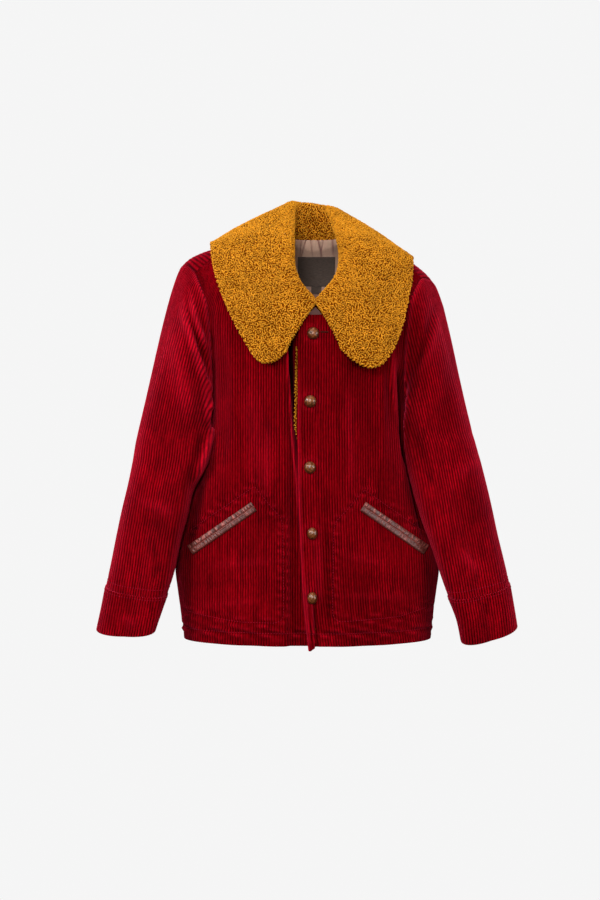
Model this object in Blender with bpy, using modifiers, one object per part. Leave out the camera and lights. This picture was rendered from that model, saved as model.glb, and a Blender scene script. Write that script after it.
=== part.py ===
"""Hip-length corduroy coat with a large fleece collar, standing hollow as if worn.

Metres, +Z up, -Y to the front and +X to the wearer's left. The origin lies between
the shoulders at the base of the neck, where the wearer carries the coat.
"""

import math
from collections import namedtuple

import bmesh
import bpy
import numpy as np

# Cloth and seams
WALL = 0.0022
PILE = 0.0075
FACING_PILE = 0.0045
LINING_WALL = 0.001
SEAM = 0.0003
CORDUROY = (0.150, 0.001, 0.006)
FLEECE = (0.450, 0.150, 0.010)
LINING = (0.230, 0.145, 0.105)
LEATHER = (0.170, 0.060, 0.045)
BUTTON = (0.120, 0.040, 0.010)
LABEL = (0.045, 0.030, 0.024)

# The body is a ring of rows. The rise of a row is 0 at the hem, 1 where the shoulder
# starts to round, 2 on the shoulder ridge; the back runs on to the forward shoulder seam.
HEM = -0.641
ROUND_START = -0.170
SQUARENESS = 2.4
RIDGE_Y = 0.005
NECK_X = 0.010
NECK_HALF = 0.075
UNDERARM = 0.756
FRONT_TOP = 1.550
BACK_TOP = 4.0 - FRONT_TOP
FRONT_NECK = 1.126
BACK_NECK = 1.689
SEAM_FULL = 0.190
SEAM_RISE = 0.009

Section = namedtuple("Section", "rise right_half left_half front_depth back_depth")
BODY_SECTIONS = (
    Section(0.00, 0.197, 0.195, 0.119, 0.110),
    Section(0.05, 0.200, 0.198, 0.120, 0.111),
    Section(0.10, 0.203, 0.200, 0.121, 0.112),
    Section(0.16, 0.207, 0.204, 0.121, 0.112),
    Section(0.24, 0.211, 0.208, 0.122, 0.113),
    Section(0.32, 0.207, 0.200, 0.123, 0.114),
    Section(0.40, 0.199, 0.188, 0.124, 0.115),
    Section(0.48, 0.189, 0.176, 0.126, 0.116),
    Section(0.55, 0.178, 0.167, 0.128, 0.117),
    Section(0.63, 0.166, 0.160, 0.129, 0.118),
    Section(0.72, 0.157, 0.156, 0.129, 0.119),
    Section(0.80, 0.156, 0.156, 0.128, 0.120),
    Section(0.90, 0.161, 0.161, 0.127, 0.120),
    Section(1.00, 0.168, 0.168, 0.125, 0.119),
    Section(1.20, 0.178, 0.178, 0.122, 0.117),
    Section(1.55, 0.197, 0.197, 0.117, 0.112),
    Section(2.00, 0.213, 0.213, 0.112, 0.108),
)

Ridge = namedtuple("Ridge", "out right_height left_height")
SHOULDER_RIDGE = (
    Ridge(0.000, 0.008, 0.008),
    Ridge(0.050, 0.008, 0.006),
    Ridge(0.075, 0.006, 0.001),
    Ridge(0.110, -0.005, -0.014),
    Ridge(0.150, -0.021, -0.034),
    Ridge(0.175, -0.030, -0.050),
    Ridge(0.190, -0.038, -0.063),
    Ridge(0.205, -0.052, -0.081),
    Ridge(0.220, -0.068, -0.098),
)

# Share of the half width that a panel keeps beside the armhole
Armhole = namedtuple("Armhole", "rise share")
FRONT_ARMHOLE = (
    Armhole(UNDERARM, 1.000),
    Armhole(0.785, 0.980),
    Armhole(0.83, 0.960),
    Armhole(0.90, 0.940),
    Armhole(1.00, 0.914),
    Armhole(1.20, 0.893),
    Armhole(1.40, 0.903),
    Armhole(FRONT_TOP, 0.905),
)
BACK_ARMHOLE = (
    Armhole(UNDERARM, 1.000),
    Armhole(0.785, 0.984),
    Armhole(0.83, 0.966),
    Armhole(0.90, 0.950),
    Armhole(1.00, 0.936),
    Armhole(1.20, 0.926),
    Armhole(1.60, 0.930),
    Armhole(2.00, 0.953),
    Armhole(2.25, 0.938),
    Armhole(BACK_TOP, 0.905),
)

# Front opening: the wearer's left front laps over the right, the fleece facing between them
LAP_LIFT = 0.0100
LAP_FLAT = 0.040
LAP_FADE = 0.110
LAP_TOP = -0.080
UNDER_EDGE = 0.036
FOLD_X = -0.037
FOLD_LIFT = 0.0075
Lap = namedtuple("Lap", "rise edge facing_edge")
LAP_EDGE = (
    Lap(0.00, -0.001, 0.003),
    Lap(0.12, -0.008, -0.004),
    Lap(0.35, -0.014, -0.010),
    Lap(0.50, -0.016, -0.012),
    Lap(0.66, -0.016, -0.013),
    Lap(0.75, -0.016, -0.020),
    Lap(0.90, -0.016, -0.026),
    Lap(1.20, -0.016, -0.027),
)
FACING_INNER = 0.034
FACING_GAP = 0.0009

# Folds of the body: where along the half girth, from which rise to which, how wide and high
HALF_GIRTH = 0.22
Fold = namedtuple("Fold", "low_place high_place low_rise high_rise half_width height")
FRONT_FOLDS = (
    Fold(0.66, 0.80, 0.50, 1.15, 0.016, 0.0045),
    Fold(0.55, 0.50, 0.00, 0.45, 0.030, 0.0040),
    Fold(0.30, 0.34, 0.00, 0.60, 0.028, 0.0030),
)
BACK_FOLDS = (
    Fold(0.30, 0.26, 0.00, 0.80, 0.035, 0.0050),
    Fold(0.62, 0.72, 0.40, 1.10, 0.020, 0.0045),
)

# Sleeves: outer and inner edges as seen from the front, the way forward and the depth
Sleeve = namedtuple("Sleeve", "height outer inner forward half_depth tilt")
SLEEVE_RIGHT = (
    Sleeve(-0.312, 0.2685, 0.1440, 0.014, 0.064, 0.000),
    Sleeve(-0.330, 0.2720, 0.1460, 0.018, 0.064, 0.000),
    Sleeve(-0.360, 0.2765, 0.1530, 0.021, 0.062, 0.001),
    Sleeve(-0.400, 0.2840, 0.1780, 0.025, 0.059, 0.002),
    Sleeve(-0.440, 0.2930, 0.1880, 0.029, 0.056, 0.003),
    Sleeve(-0.480, 0.3010, 0.1990, 0.032, 0.054, 0.004),
    Sleeve(-0.528, 0.3100, 0.2095, 0.036, 0.051, 0.005),
    Sleeve(-0.560, 0.3165, 0.2200, 0.038, 0.049, 0.006),
    Sleeve(-0.600, 0.3245, 0.2330, 0.041, 0.047, 0.004),
    Sleeve(-0.622, 0.3300, 0.2390, 0.043, 0.045, 0.000),
)
SLEEVE_LEFT = (
    Sleeve(-0.316, 0.2590, 0.1390, 0.014, 0.064, 0.000),
    Sleeve(-0.330, 0.2630, 0.1430, 0.018, 0.064, 0.001),
    Sleeve(-0.360, 0.2710, 0.1520, 0.021, 0.062, 0.003),
    Sleeve(-0.400, 0.2805, 0.1640, 0.025, 0.059, 0.005),
    Sleeve(-0.440, 0.2890, 0.1760, 0.029, 0.056, 0.007),
    Sleeve(-0.480, 0.2970, 0.1910, 0.032, 0.054, 0.008),
    Sleeve(-0.528, 0.3080, 0.2070, 0.036, 0.051, 0.009),
    Sleeve(-0.560, 0.3150, 0.2185, 0.038, 0.049, 0.010),
    Sleeve(-0.600, 0.3220, 0.2330, 0.041, 0.047, 0.009),
    Sleeve(-0.628, 0.3260, 0.2390, 0.043, 0.045, 0.011),
)
SLEEVE_CLEAR = 0.0045
INNER_FORWARD = 0.030
CUFF_SEAM = -0.560
CUFF_STEP = 0.0014
ARM_DROOP = 0.008
CUFF_GAP = 0.0010
SLEEVE_SQUARENESS = 2.2
CAP_ROWS = 6
ARM_ROWS = 9
CUFF_ROWS = 4

# Sleeve folds: the turn around the arm, 0 outside and a quarter in front, and the share of the way down
ArmFold = namedtuple("ArmFold", "top_turn low_turn top_way low_way half_turn height")
SLEEVE_RIGHT_FOLDS = (
    ArmFold(0.16, 0.36, 0.16, 0.52, 0.050, 0.0050),
    ArmFold(0.38, 0.40, 0.40, 0.58, 0.045, 0.0060),
    ArmFold(0.70, 0.58, 0.42, 0.66, 0.060, 0.0060),
)
SLEEVE_LEFT_FOLDS = (
    ArmFold(0.18, 0.32, 0.14, 0.48, 0.050, 0.0040),
    ArmFold(0.72, 0.58, 0.44, 0.68, 0.060, 0.0060),
)

# Collar stations from the centre back to the front end: the turn around the neck, the roll line
# and the free edge. The right side is the wearer's right, at -X.
Station = namedtuple("Station", "turn roll_x roll_y roll_z edge_x edge_y edge_z")
COLLAR_RIGHT = (
    Station(0.00, 0.006, 0.060, 0.056, 0.004, 0.122, -0.060),
    Station(0.12, -0.014, 0.058, 0.057, -0.070, 0.114, -0.050),
    Station(0.25, -0.025, 0.045, 0.056, -0.125, 0.076, -0.032),
    Station(0.35, -0.028, 0.022, 0.046, -0.150, 0.028, -0.015),
    Station(0.45, -0.028, -0.005, 0.027, -0.151, -0.018, -0.026),
    Station(0.55, -0.028, -0.037, 0.002, -0.144, -0.057, -0.062),
    Station(0.65, -0.028, -0.068, -0.029, -0.129, -0.090, -0.108),
    Station(0.74, -0.027, -0.094, -0.060, -0.108, -0.118, -0.155),
    Station(0.80, -0.022, -0.106, -0.078, -0.091, -0.130, -0.184),
    Station(0.84, -0.017, -0.112, -0.089, -0.079, -0.136, -0.203),
    Station(0.88, -0.011, -0.117, -0.100, -0.065, -0.140, -0.211),
    Station(0.92, -0.004, -0.121, -0.110, -0.050, -0.142, -0.206),
    Station(0.96, 0.004, -0.124, -0.118, -0.037, -0.142, -0.191),
)
COLLAR_LEFT = (
    Station(0.00, 0.006, 0.060, 0.056, 0.004, 0.122, -0.060),
    Station(0.12, 0.026, 0.058, 0.052, 0.080, 0.112, -0.054),
    Station(0.25, 0.037, 0.045, 0.048, 0.136, 0.074, -0.042),
    Station(0.35, 0.042, 0.022, 0.038, 0.159, 0.028, -0.036),
    Station(0.45, 0.046, -0.005, 0.019, 0.162, -0.018, -0.048),
    Station(0.55, 0.051, -0.037, -0.006, 0.158, -0.057, -0.080),
    Station(0.65, 0.054, -0.068, -0.035, 0.150, -0.086, -0.118),
    Station(0.74, 0.052, -0.094, -0.062, 0.138, -0.112, -0.164),
    Station(0.80, 0.046, -0.106, -0.079, 0.124, -0.126, -0.195),
    Station(0.84, 0.040, -0.112, -0.089, 0.109, -0.134, -0.213),
    Station(0.88, 0.033, -0.117, -0.100, 0.090, -0.139, -0.218),
    Station(0.92, 0.026, -0.121, -0.110, 0.068, -0.142, -0.207),
    Station(0.96, 0.018, -0.124, -0.118, 0.050, -0.142, -0.188),
)
Lean = namedtuple("Lean", "turn degrees")
ROLL_LEAN = (
    Lean(0.00, 0),
    Lean(0.12, 14),
    Lean(0.25, 45),
    Lean(0.42, 90),
    Lean(0.60, 125),
    Lean(0.75, 150),
    Lean(0.96, 165),
)
COLLAR_STEPS = 20
COLLAR_END = 0.96
ROLL_RADIUS = 0.005
FALL_BULGE = 0.005
COLLAR_CLEAR = 0.0055
NECK_SEAM = 0.0019

# Pockets: the welt of each front, from its inner end to its outer end, in the front view
POCKET_INNER = (0.082, -0.428)
POCKET_OUTER = (0.182, -0.498)
LIP_WIDTH = 0.0080
LIP_WALL = 0.0022
LIP_SEAT = 0.0008
LIP_STEPS = 9

# Buttons down the front opening
BUTTON_RADIUS = 0.0088
BUTTON_DOME = 0.0062
Button = namedtuple("Button", "x height")
BUTTONS = (
    Button(0.0054, -0.164),
    Button(0.0016, -0.267),
    Button(0.0016, -0.367),
    Button(0.0052, -0.467),
    Button(0.0054, -0.565),
)

# Neck label and size tab on the back lining
LABEL_X = 0.0145
LABEL_SIZE = (0.062, 0.050)
LABEL_TOP = -0.022
TAB_SIZE = (0.017, 0.012)
TAG_WALL = 0.001
LINING_HALF = 0.104
LINING_LOW = 0.07
LINING_DEPTH = 0.0040

TURN = 2.0 * math.pi


def column(rows, name):
    return np.array([getattr(row, name) for row in rows])


def smooth(rows, key, name, at):
    """Cubic curve through one column of a table."""
    knots = column(rows, key)
    values = column(rows, name)
    slopes = np.gradient(values, knots)
    at = np.clip(np.asarray(at, float), knots[0], knots[-1])
    index = np.clip(np.searchsorted(knots, at, side="right") - 1, 0, len(knots) - 2)
    span = knots[index + 1] - knots[index]
    t = (at - knots[index]) / span
    start = values[index] * (1 + 2 * t) * (1 - t) ** 2 + slopes[index] * span * t * (1 - t) ** 2
    end = values[index + 1] * t * t * (3 - 2 * t) + slopes[index + 1] * span * t * t * (t - 1)
    return start + end


def fade(low, high, at):
    """0 below low, 1 above high, smooth between."""
    t = np.clip((np.asarray(at, float) - low) / (high - low), 0.0, 1.0)
    return t * t * (3 - 2 * t)


def ridge_height(x):
    right = smooth(SHOULDER_RIDGE, "out", "right_height", np.abs(x))
    left = smooth(SHOULDER_RIDGE, "out", "left_height", np.abs(x))
    return np.where(np.asarray(x) < 0, right, left)


def half_width(x, level):
    right = smooth(BODY_SECTIONS, "rise", "right_half", level)
    left = smooth(BODY_SECTIONS, "rise", "left_half", level)
    return np.where(np.asarray(x) < 0, right, left)


def torso(x, rise, face):
    """Points of the body at a distance across and a rise; face is -1 in front and 1 behind."""
    x, rise = np.broadcast_arrays(np.asarray(x, float), np.asarray(rise, float))
    turn = np.clip(2.0 - rise, -1.0, 1.0) * math.pi / 2
    straight = HEM + (ROUND_START - HEM) * rise
    rounded = ROUND_START + (ridge_height(x) - ROUND_START) * np.cos(turn)
    z = np.where(rise < 1, straight, rounded)
    level = np.where(rise > 2, 4 - rise, rise)
    front = smooth(BODY_SECTIONS, "rise", "front_depth", level)
    back = smooth(BODY_SECTIONS, "rise", "back_depth", level)
    depth = np.where(face * np.sin(turn) < 0, front, back)
    part = np.clip(np.abs(x) / half_width(x, level), 0.0, 1.0)
    y = RIDGE_Y + face * depth * np.sin(turn) * (1 - part ** SQUARENESS) ** (1 / SQUARENESS)
    return np.stack([x, y, z], axis=-1)


def torso_rise(x, z):
    """Rise of a point of the body below the ridge, from its height."""
    lifted = np.clip((z - ROUND_START) / (ridge_height(x) - ROUND_START), 0.0, 1.0)
    rounded = 2 - np.arccos(lifted) / (math.pi / 2)
    return np.where(z > ROUND_START, rounded, (z - HEM) / (ROUND_START - HEM))


def front_y(x, z):
    return torso(x, torso_rise(x, z), -1)[..., 1]


def back_y(x, z):
    return torso(x, torso_rise(x, z), 1)[..., 1]


def body_x(side, y, z):
    """Distance out of the body's side at a depth and height below the armhole."""
    rise = (z - HEM) / (ROUND_START - HEM)
    front = smooth(BODY_SECTIONS, "rise", "front_depth", rise)
    back = smooth(BODY_SECTIONS, "rise", "back_depth", rise)
    part = np.clip(np.abs(y - RIDGE_Y) / np.where(y < RIDGE_Y, front, back), 0.0, 1.0)
    return half_width(side, rise) * (1 - part ** SQUARENESS) ** (1 / SQUARENESS)


def shoulder_seam(x):
    """How far the shoulder seam lies in front of the ridge, in rise."""
    out = np.abs(x - NECK_X)
    return (BACK_TOP - 2.0) * np.clip((out - NECK_HALF) / (SEAM_FULL - NECK_HALF), 0, 1)


def front_rise(x, level):
    """Rise of a front row at a distance across; the top row is the neckline and shoulder seam."""
    out = np.clip(np.abs(x - NECK_X) / NECK_HALF, 0, 1)
    end = FRONT_NECK + (2.0 - FRONT_NECK) * out ** 3 - shoulder_seam(x) - SEAM_RISE
    share = np.clip((level / FRONT_TOP - 0.35) / 0.65, 0, 1) ** 1.4
    return level + (end - FRONT_TOP) * share


def back_rise(x, level):
    out = np.clip(np.abs(x - NECK_X) / NECK_HALF, 0, 1)
    end = BACK_NECK + (2.0 - BACK_NECK) * out ** 2 + shoulder_seam(x)
    share = np.clip((level / BACK_TOP - 0.5) / 0.5, 0, 1) ** 1.4
    return level + (end - BACK_TOP) * share


def side_x(side, level, armhole):
    mirrored = np.where(level > 2, 4 - level, level)
    share = np.where(level > UNDERARM, smooth(armhole, "rise", "share", level), 1.0)
    return half_width(side, mirrored) * share


def resample(line, places):
    """Points along a polyline at shares of its length."""
    steps = np.linalg.norm(np.diff(line, axis=0), axis=1)
    length = np.concatenate([[0.0], np.cumsum(steps)])
    at = np.asarray(places) * length[-1]
    return np.stack([np.interp(at, length, line[:, i]) for i in range(3)], axis=-1), length[-1]


def grid_normals(grid, closed=False):
    if closed:
        across = np.roll(grid, -1, axis=1) - np.roll(grid, 1, axis=1)
    else:
        across = np.gradient(grid, axis=1)
    up = np.gradient(grid, axis=0)
    normal = np.cross(across, up)
    return normal / np.maximum(np.linalg.norm(normal, axis=-1, keepdims=True), 1e-9)


def fold_height(folds, place, rise, girth):
    """Sum of the folds at a share of the half girth and a rise."""
    total = np.zeros(np.broadcast(place, rise).shape)
    for fold in folds:
        way = (rise - fold.low_rise) / (fold.high_rise - fold.low_rise)
        middle = fold.low_place + (fold.high_place - fold.low_place) * way
        across = (place - middle) * girth / fold.half_width
        ends = fade(1.0, 0.7, way)
        ends = ends * (fade(-0.02, 0.25, way) if fold.low_rise > 0 else (way > -0.01))
        total = total + fold.height * ends * np.exp(-across ** 2)
    return total


def front_grid(side, places, levels):
    """Outer points of a front; side is 1 for the wearer's left, which laps over the right."""
    rows = []
    spread = np.sin(np.linspace(0, math.pi / 2, 80))
    for level in levels:
        end = side * side_x(side, level, FRONT_ARMHOLE)
        start = smooth(LAP_EDGE, "rise", "edge", level) if side > 0 else UNDER_EDGE
        x = start + (end - start) * spread
        line = torso(x, front_rise(x, level), -1)
        line[:, 1] = np.minimum(line[:, 1], RIDGE_Y - SEAM)
        row, _ = resample(line, places)
        rows.append(row)
    grid = np.array(rows)
    rise = front_rise(grid[..., 0], np.asarray(levels)[:, None])
    place = np.abs(grid[..., 0]) / np.abs(grid[:, -1:, 0])
    height = fold_height(FRONT_FOLDS, place, rise, HALF_GIRTH) * fade(1.0, 0.9, place)
    grid = grid + grid_normals(grid) * side * height[..., None]
    grid[..., 1] -= lap_lift(side, grid[..., 0], grid[..., 2])
    return grid


def lap_lift(side, x, z):
    """How far a front stands off at the opening."""
    if side > 0:
        return LAP_LIFT * fade(LAP_FADE, LAP_FLAT, x) * fade(LAP_TOP, LAP_TOP - 0.045, z)
    crest = FOLD_LIFT * fade(FOLD_X + 0.010, FOLD_X, x) * fade(FOLD_X - 0.060, FOLD_X - 0.004, x)
    return crest - 0.0006 * fade(FOLD_X, FOLD_X + 0.012, x)


def back_grid(places, levels):
    rows = []
    spread = np.sin(np.linspace(-math.pi / 2, math.pi / 2, 140))
    for level in levels:
        right = side_x(-1, level, BACK_ARMHOLE)
        left = side_x(1, level, BACK_ARMHOLE)
        x = np.where(spread < 0, right, left) * spread
        line = torso(x, back_rise(x, level), 1)
        if level < 1:
            line[:, 1] = np.maximum(line[:, 1], RIDGE_Y + SEAM)
        row, _ = resample(line, places)
        rows.append(row)
    grid = np.array(rows)
    rise = back_rise(grid[..., 0], np.asarray(levels)[:, None])
    ends = np.where(grid[..., 0] < 0, np.abs(grid[:, :1, 0]), grid[:, -1:, 0])
    place = np.abs(grid[..., 0]) / ends
    edges = fade(1.0, 0.9, place)
    height = fold_height(BACK_FOLDS, place, rise, HALF_GIRTH) * edges
    return grid - grid_normals(grid) * height[..., None]


def armhole_loop(side, front, back, front_levels, back_levels):
    """Points round an armhole from the shoulder ridge by the front and the underarm to the back."""
    front_edge = front[:, -1]
    back_edge = back[:, -1] if side > 0 else back[:, 0]
    front_levels = np.asarray(front_levels)
    back_levels = np.asarray(back_levels)
    over = back_edge[back_levels > 1.999][:-1]
    down = front_edge[front_levels > UNDERARM - 1e-6][::-1]
    up = back_edge[(back_levels > UNDERARM + 1e-6) & (back_levels < 1.999)]
    loop = np.concatenate([over, down, up])
    return loop, len(over) + len(down) - 1


def loop_turns(loop, underarm):
    """Share of a full turn of each loop point, half a turn at the underarm."""
    closed = np.concatenate([loop, loop[:1]])
    length = np.concatenate([[0.0], np.cumsum(np.linalg.norm(np.diff(closed, axis=0), axis=1))])
    first = 0.5 * length / length[underarm]
    second = 0.5 + 0.5 * (length - length[underarm]) / (length[-1] - length[underarm])
    return np.where(length <= length[underarm], first, second)[:-1]


def arm_ring(side, rows, height, turns, step=0.0):
    """One ring of a sleeve or cuff, from the table of its sections."""
    ordered = rows[::-1]
    outer = smooth(ordered, "height", "outer", height) + step
    inner = smooth(ordered, "height", "inner", height) - step
    depth = smooth(ordered, "height", "half_depth", height) + step
    forward = smooth(ordered, "height", "forward", height)
    tilt = smooth(ordered, "height", "tilt", height)
    angle = np.asarray(turns) * TURN
    power = 2 / SLEEVE_SQUARENESS
    cosine = np.sign(np.cos(angle)) * np.abs(np.cos(angle)) ** power
    sine = np.sign(np.sin(angle)) * np.abs(np.sin(angle)) ** power
    x = side * ((outer + inner) / 2 + (outer - inner) / 2 * cosine)
    lean = INNER_FORWARD * fade(rows[0].height + 0.02, rows[0].height - 0.09, height)
    y = -forward - depth * sine - lean * np.maximum(-cosine, 0.0)
    z = height + tilt * cosine - ARM_DROOP * sine * fade(CUFF_SEAM + 0.15, CUFF_SEAM - 0.07, height)
    return clear_body(side, np.stack([x, y, z], axis=-1))


def clear_body(side, points):
    """Sleeve points moved out to clear the side of the body."""
    x, y, z = np.moveaxis(points, -1, 0)
    clear = body_x(side, y, z) + SLEEVE_CLEAR
    return np.stack([side * np.maximum(side * x, clear), y, z], axis=-1)


def sleeve_grid(side, rows, folds, loop, turns):
    """Rings of a sleeve: a cap that leaves the armhole, then the arm down to the cuff seam."""
    top = 0.5 + 0.5 * np.cos(np.asarray(turns) * TURN)[:, None]
    start = loop + np.array([side * 0.0006, 0.0, 0.0]) - np.array([0.0, 0.0, 0.0005]) * top
    end = arm_ring(side, rows, rows[0].height, turns)
    reach = np.linalg.norm(end - start, axis=1, keepdims=True)
    leave = np.array([[side * 0.5, 0.0, 0.0]]) * (1 - 0.55 * top) - np.array([[0.0, 0.0, 0.4]]) * top
    arrive = np.array([[side * 0.24, 0.0, -1.0]])
    grid = [start]
    for step in np.concatenate([[0.02], np.linspace(0, 1, CAP_ROWS + 1)[1:]]):
        t = step
        point = start * (1 + 2 * t) * (1 - t) ** 2 + end * t * t * (3 - 2 * t)
        point = point + reach * (leave * t * (1 - t) ** 2 + arrive * t * t * (t - 1))
        grid.append(point)
    for height in np.linspace(rows[0].height, CUFF_SEAM, ARM_ROWS + 1)[1:]:
        grid.append(arm_ring(side, rows, height, turns))
    grid = np.array(grid)
    way = np.linspace(0, 1, len(grid))[:, None]
    around = np.asarray(turns)[None, :]
    height = np.zeros((len(grid), len(turns)))
    for fold in folds:
        t = (way - fold.top_way) / (fold.low_way - fold.top_way)
        middle = fold.top_turn + (fold.low_turn - fold.top_turn) * t
        apart = (around - middle + 0.5) % 1.0 - 0.5
        ends = fade(-0.1, 0.25, t) * fade(1.1, 0.75, t)
        height = height + fold.height * ends * np.exp(-(apart / fold.half_turn) ** 2)
    grid = grid + side * grid_normals(grid, closed=True) * height[..., None]
    grid[-ARM_ROWS:] = clear_body(side, grid[-ARM_ROWS:])
    return grid


def cuff_grid(side, rows, turns):
    heights = np.linspace(CUFF_SEAM - CUFF_GAP, rows[-1].height, CUFF_ROWS + 1)
    heights = np.concatenate([heights[:1], [heights[0] - 0.003], heights[1:]])
    return np.array([arm_ring(side, rows, height, turns, CUFF_STEP) for height in heights])


def neckline(side, front, back):
    """Top edge of the back and a front from the centre back to the centre front."""
    behind = back[-1] if side > 0 else back[-1][::-1]
    before = front[-1][::-1]
    behind_out = side * (behind[:, 0] - NECK_X)
    before_out = side * (before[:, 0] - NECK_X)
    behind = behind[(behind_out > 1e-4) & (behind_out < NECK_HALF)]
    before = before[(before_out > -1e-4) & (before_out < NECK_HALF)]
    middle_back = torso(NECK_X, BACK_NECK, 1)[None]
    lifted = np.array([[0.0, LAP_LIFT if side > 0 else 0.0, 0.0]])
    middle_front = torso(NECK_X, FRONT_NECK, -1)[None] - lifted
    return np.concatenate([middle_back, behind, before, middle_front])


def neck_point(line, turn):
    """Point just inside the neckline, a share of the way from the centre back."""
    point = resample(line, [turn])[0][0]
    inward = np.array([NECK_X - point[0], -0.02 - point[1], 0.0])
    return point + inward / np.linalg.norm(inward) * NECK_SEAM + np.array([0.0, 0.0, NECK_SEAM])


def collar_profile(side, turn, line):
    """Under side of the collar at one station: neck seam, stand, roll, fall and free edge."""
    rows = COLLAR_LEFT if side > 0 else COLLAR_RIGHT
    roll = np.array([smooth(rows, "turn", name, turn) for name in ("roll_x", "roll_y", "roll_z")])
    edge = np.array([smooth(rows, "turn", name, turn) for name in ("edge_x", "edge_y", "edge_z")])
    neck = neck_point(line, turn)
    fall = (edge - roll) / np.linalg.norm(edge - roll)
    stand = (neck - roll) / np.linalg.norm(neck - roll)
    along = (fall + stand) / np.linalg.norm(fall + stand)
    lean = math.radians(float(smooth(ROLL_LEAN, "turn", "degrees", turn)))
    apart = np.array([0.0, math.cos(lean), math.sin(lean)])
    apart = apart - np.dot(apart, along) * along
    apart = apart / np.linalg.norm(apart)
    centre = roll + along * ROLL_RADIUS
    points = [neck, neck * 0.5 + centre * 0.5 - apart * ROLL_RADIUS * 0.5]
    for degrees in (-90, -45, 0, 45, 90):
        swing = math.radians(degrees)
        points.append(centre + ROLL_RADIUS * (apart * math.sin(swing) - along * math.cos(swing)))
    for share in (0.25, 0.50, 0.75, 0.96, 1.0):
        bulge = ROLL_RADIUS * (1 - share) + FALL_BULGE * 4 * share * (1 - share)
        points.append(centre * (1 - share) + edge * share + apart * bulge)
    points = np.array(points)
    points[7:] = outside(points[7:], COLLAR_CLEAR)
    return points


def outside(points, margin):
    """Points moved forward or back to clear the body, the lapped front included."""
    x, y, z = points.T
    top = ridge_height(x) + margin
    lifted = np.clip((z - ROUND_START) / (top - ROUND_START), 0.0, 1.0)
    rounded = 2 - np.arccos(lifted) / (math.pi / 2)
    rise = np.where(z > ROUND_START, rounded, (z - HEM) / (ROUND_START - HEM))
    lap = margin + lap_lift(1, np.abs(x), z)
    front = torso(x, rise, -1)[:, 1] - lap
    back = torso(x, rise, 1)[:, 1] + margin
    moved = np.where(y < RIDGE_Y, np.minimum(y, front), np.maximum(y, back))
    return np.stack([x, np.where(z > top, y, moved), z], axis=-1)


def panel_object(name, grid, wall, colour, closed=False, flip=False, outward=False, even=True):
    """A grid of points made into one named solid sheet."""
    rows, columns = grid.shape[:2]
    work = bmesh.new()
    bmesh.ops.create_grid(work, x_segments=columns - 1, y_segments=rows - 1, size=1)
    work.verts.ensure_lookup_table()
    for index, vertex in enumerate(work.verts):
        vertex.co = grid[index // columns, index % columns]
    if closed:
        for row in range(rows - 1):
            first = row * columns
            corners = [first + columns - 1, first, first + columns, first + 2 * columns - 1]
            work.faces.new([work.verts[i] for i in corners])
    if flip:
        bmesh.ops.reverse_faces(work, faces=work.faces[:])
    mesh = bpy.data.meshes.new(name)
    work.to_mesh(mesh)
    work.free()
    part = finish(name, mesh, colour)
    solidify = part.modifiers.new("wall", "SOLIDIFY")
    solidify.thickness = wall
    solidify.offset = 1.0 if outward else -1.0
    solidify.use_even_offset = even
    solidify.use_rim = True
    return part


def finish(name, mesh, colour):
    material = bpy.data.materials.new(name)
    material.use_nodes = True
    shader = material.node_tree.nodes["Principled BSDF"]
    shader.inputs["Base Color"].default_value = (*colour, 1.0)
    shader.inputs["Roughness"].default_value = 0.9
    mesh.materials.append(material)
    part = bpy.data.objects.new(name, mesh)
    coat.objects.link(part)
    return part


def lie_on(side, x, z, off):
    """Points moved out from a front by a distance."""
    step = 0.002
    lifted = lap_lift(side, np.asarray(x), z)
    centre = np.stack([x, front_y(x, z) - lifted, z], axis=-1)
    across = np.stack([x + step, front_y(x + step, z) - lap_lift(side, x + step, z), z], axis=-1)
    above = np.stack([x, front_y(x, z + step) - lifted, z + step], axis=-1)
    normal = np.cross(across - centre, above - centre)
    normal = normal / np.linalg.norm(normal, axis=-1, keepdims=True)
    rise = torso_rise(x, z)
    place = np.abs(x) / side_x(side, rise, FRONT_ARMHOLE)
    folded = fold_height(FRONT_FOLDS, place, rise, HALF_GIRTH) * fade(1.0, 0.9, place)
    return centre + normal * (np.asarray(off) + folded)[..., None]


def pocket_lip(name, side, upper):
    """One leather lip of a slanted pocket, on the points of its front."""
    inner = np.array(POCKET_INNER)
    outer = np.array(POCKET_OUTER)
    along = (outer - inner) / np.linalg.norm(outer - inner)
    across = np.array([along[1], -along[0]]) * (-1 if upper else 1)
    places = np.concatenate([[0.0, 0.02], np.linspace(0.1, 0.9, LIP_STEPS), [0.98, 1.0]])
    widths = np.array([SEAM / 2, 0.0012, LIP_WIDTH / 2, LIP_WIDTH - 0.001, LIP_WIDTH])
    heights = np.array([0.0, 0.0, 0.0010, 0.0, 0.0])
    spots = inner[None, None] + along * places[:, None, None] * np.linalg.norm(outer - inner)
    spots = spots + across * widths[None, :, None]
    x = side * spots[..., 0]
    z = spots[..., 1]
    grid = lie_on(side, x, z, LIP_SEAT + heights[None, :])
    return panel_object(name, grid, LIP_WALL, LEATHER, flip=(side > 0) == upper, outward=True)


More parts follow.
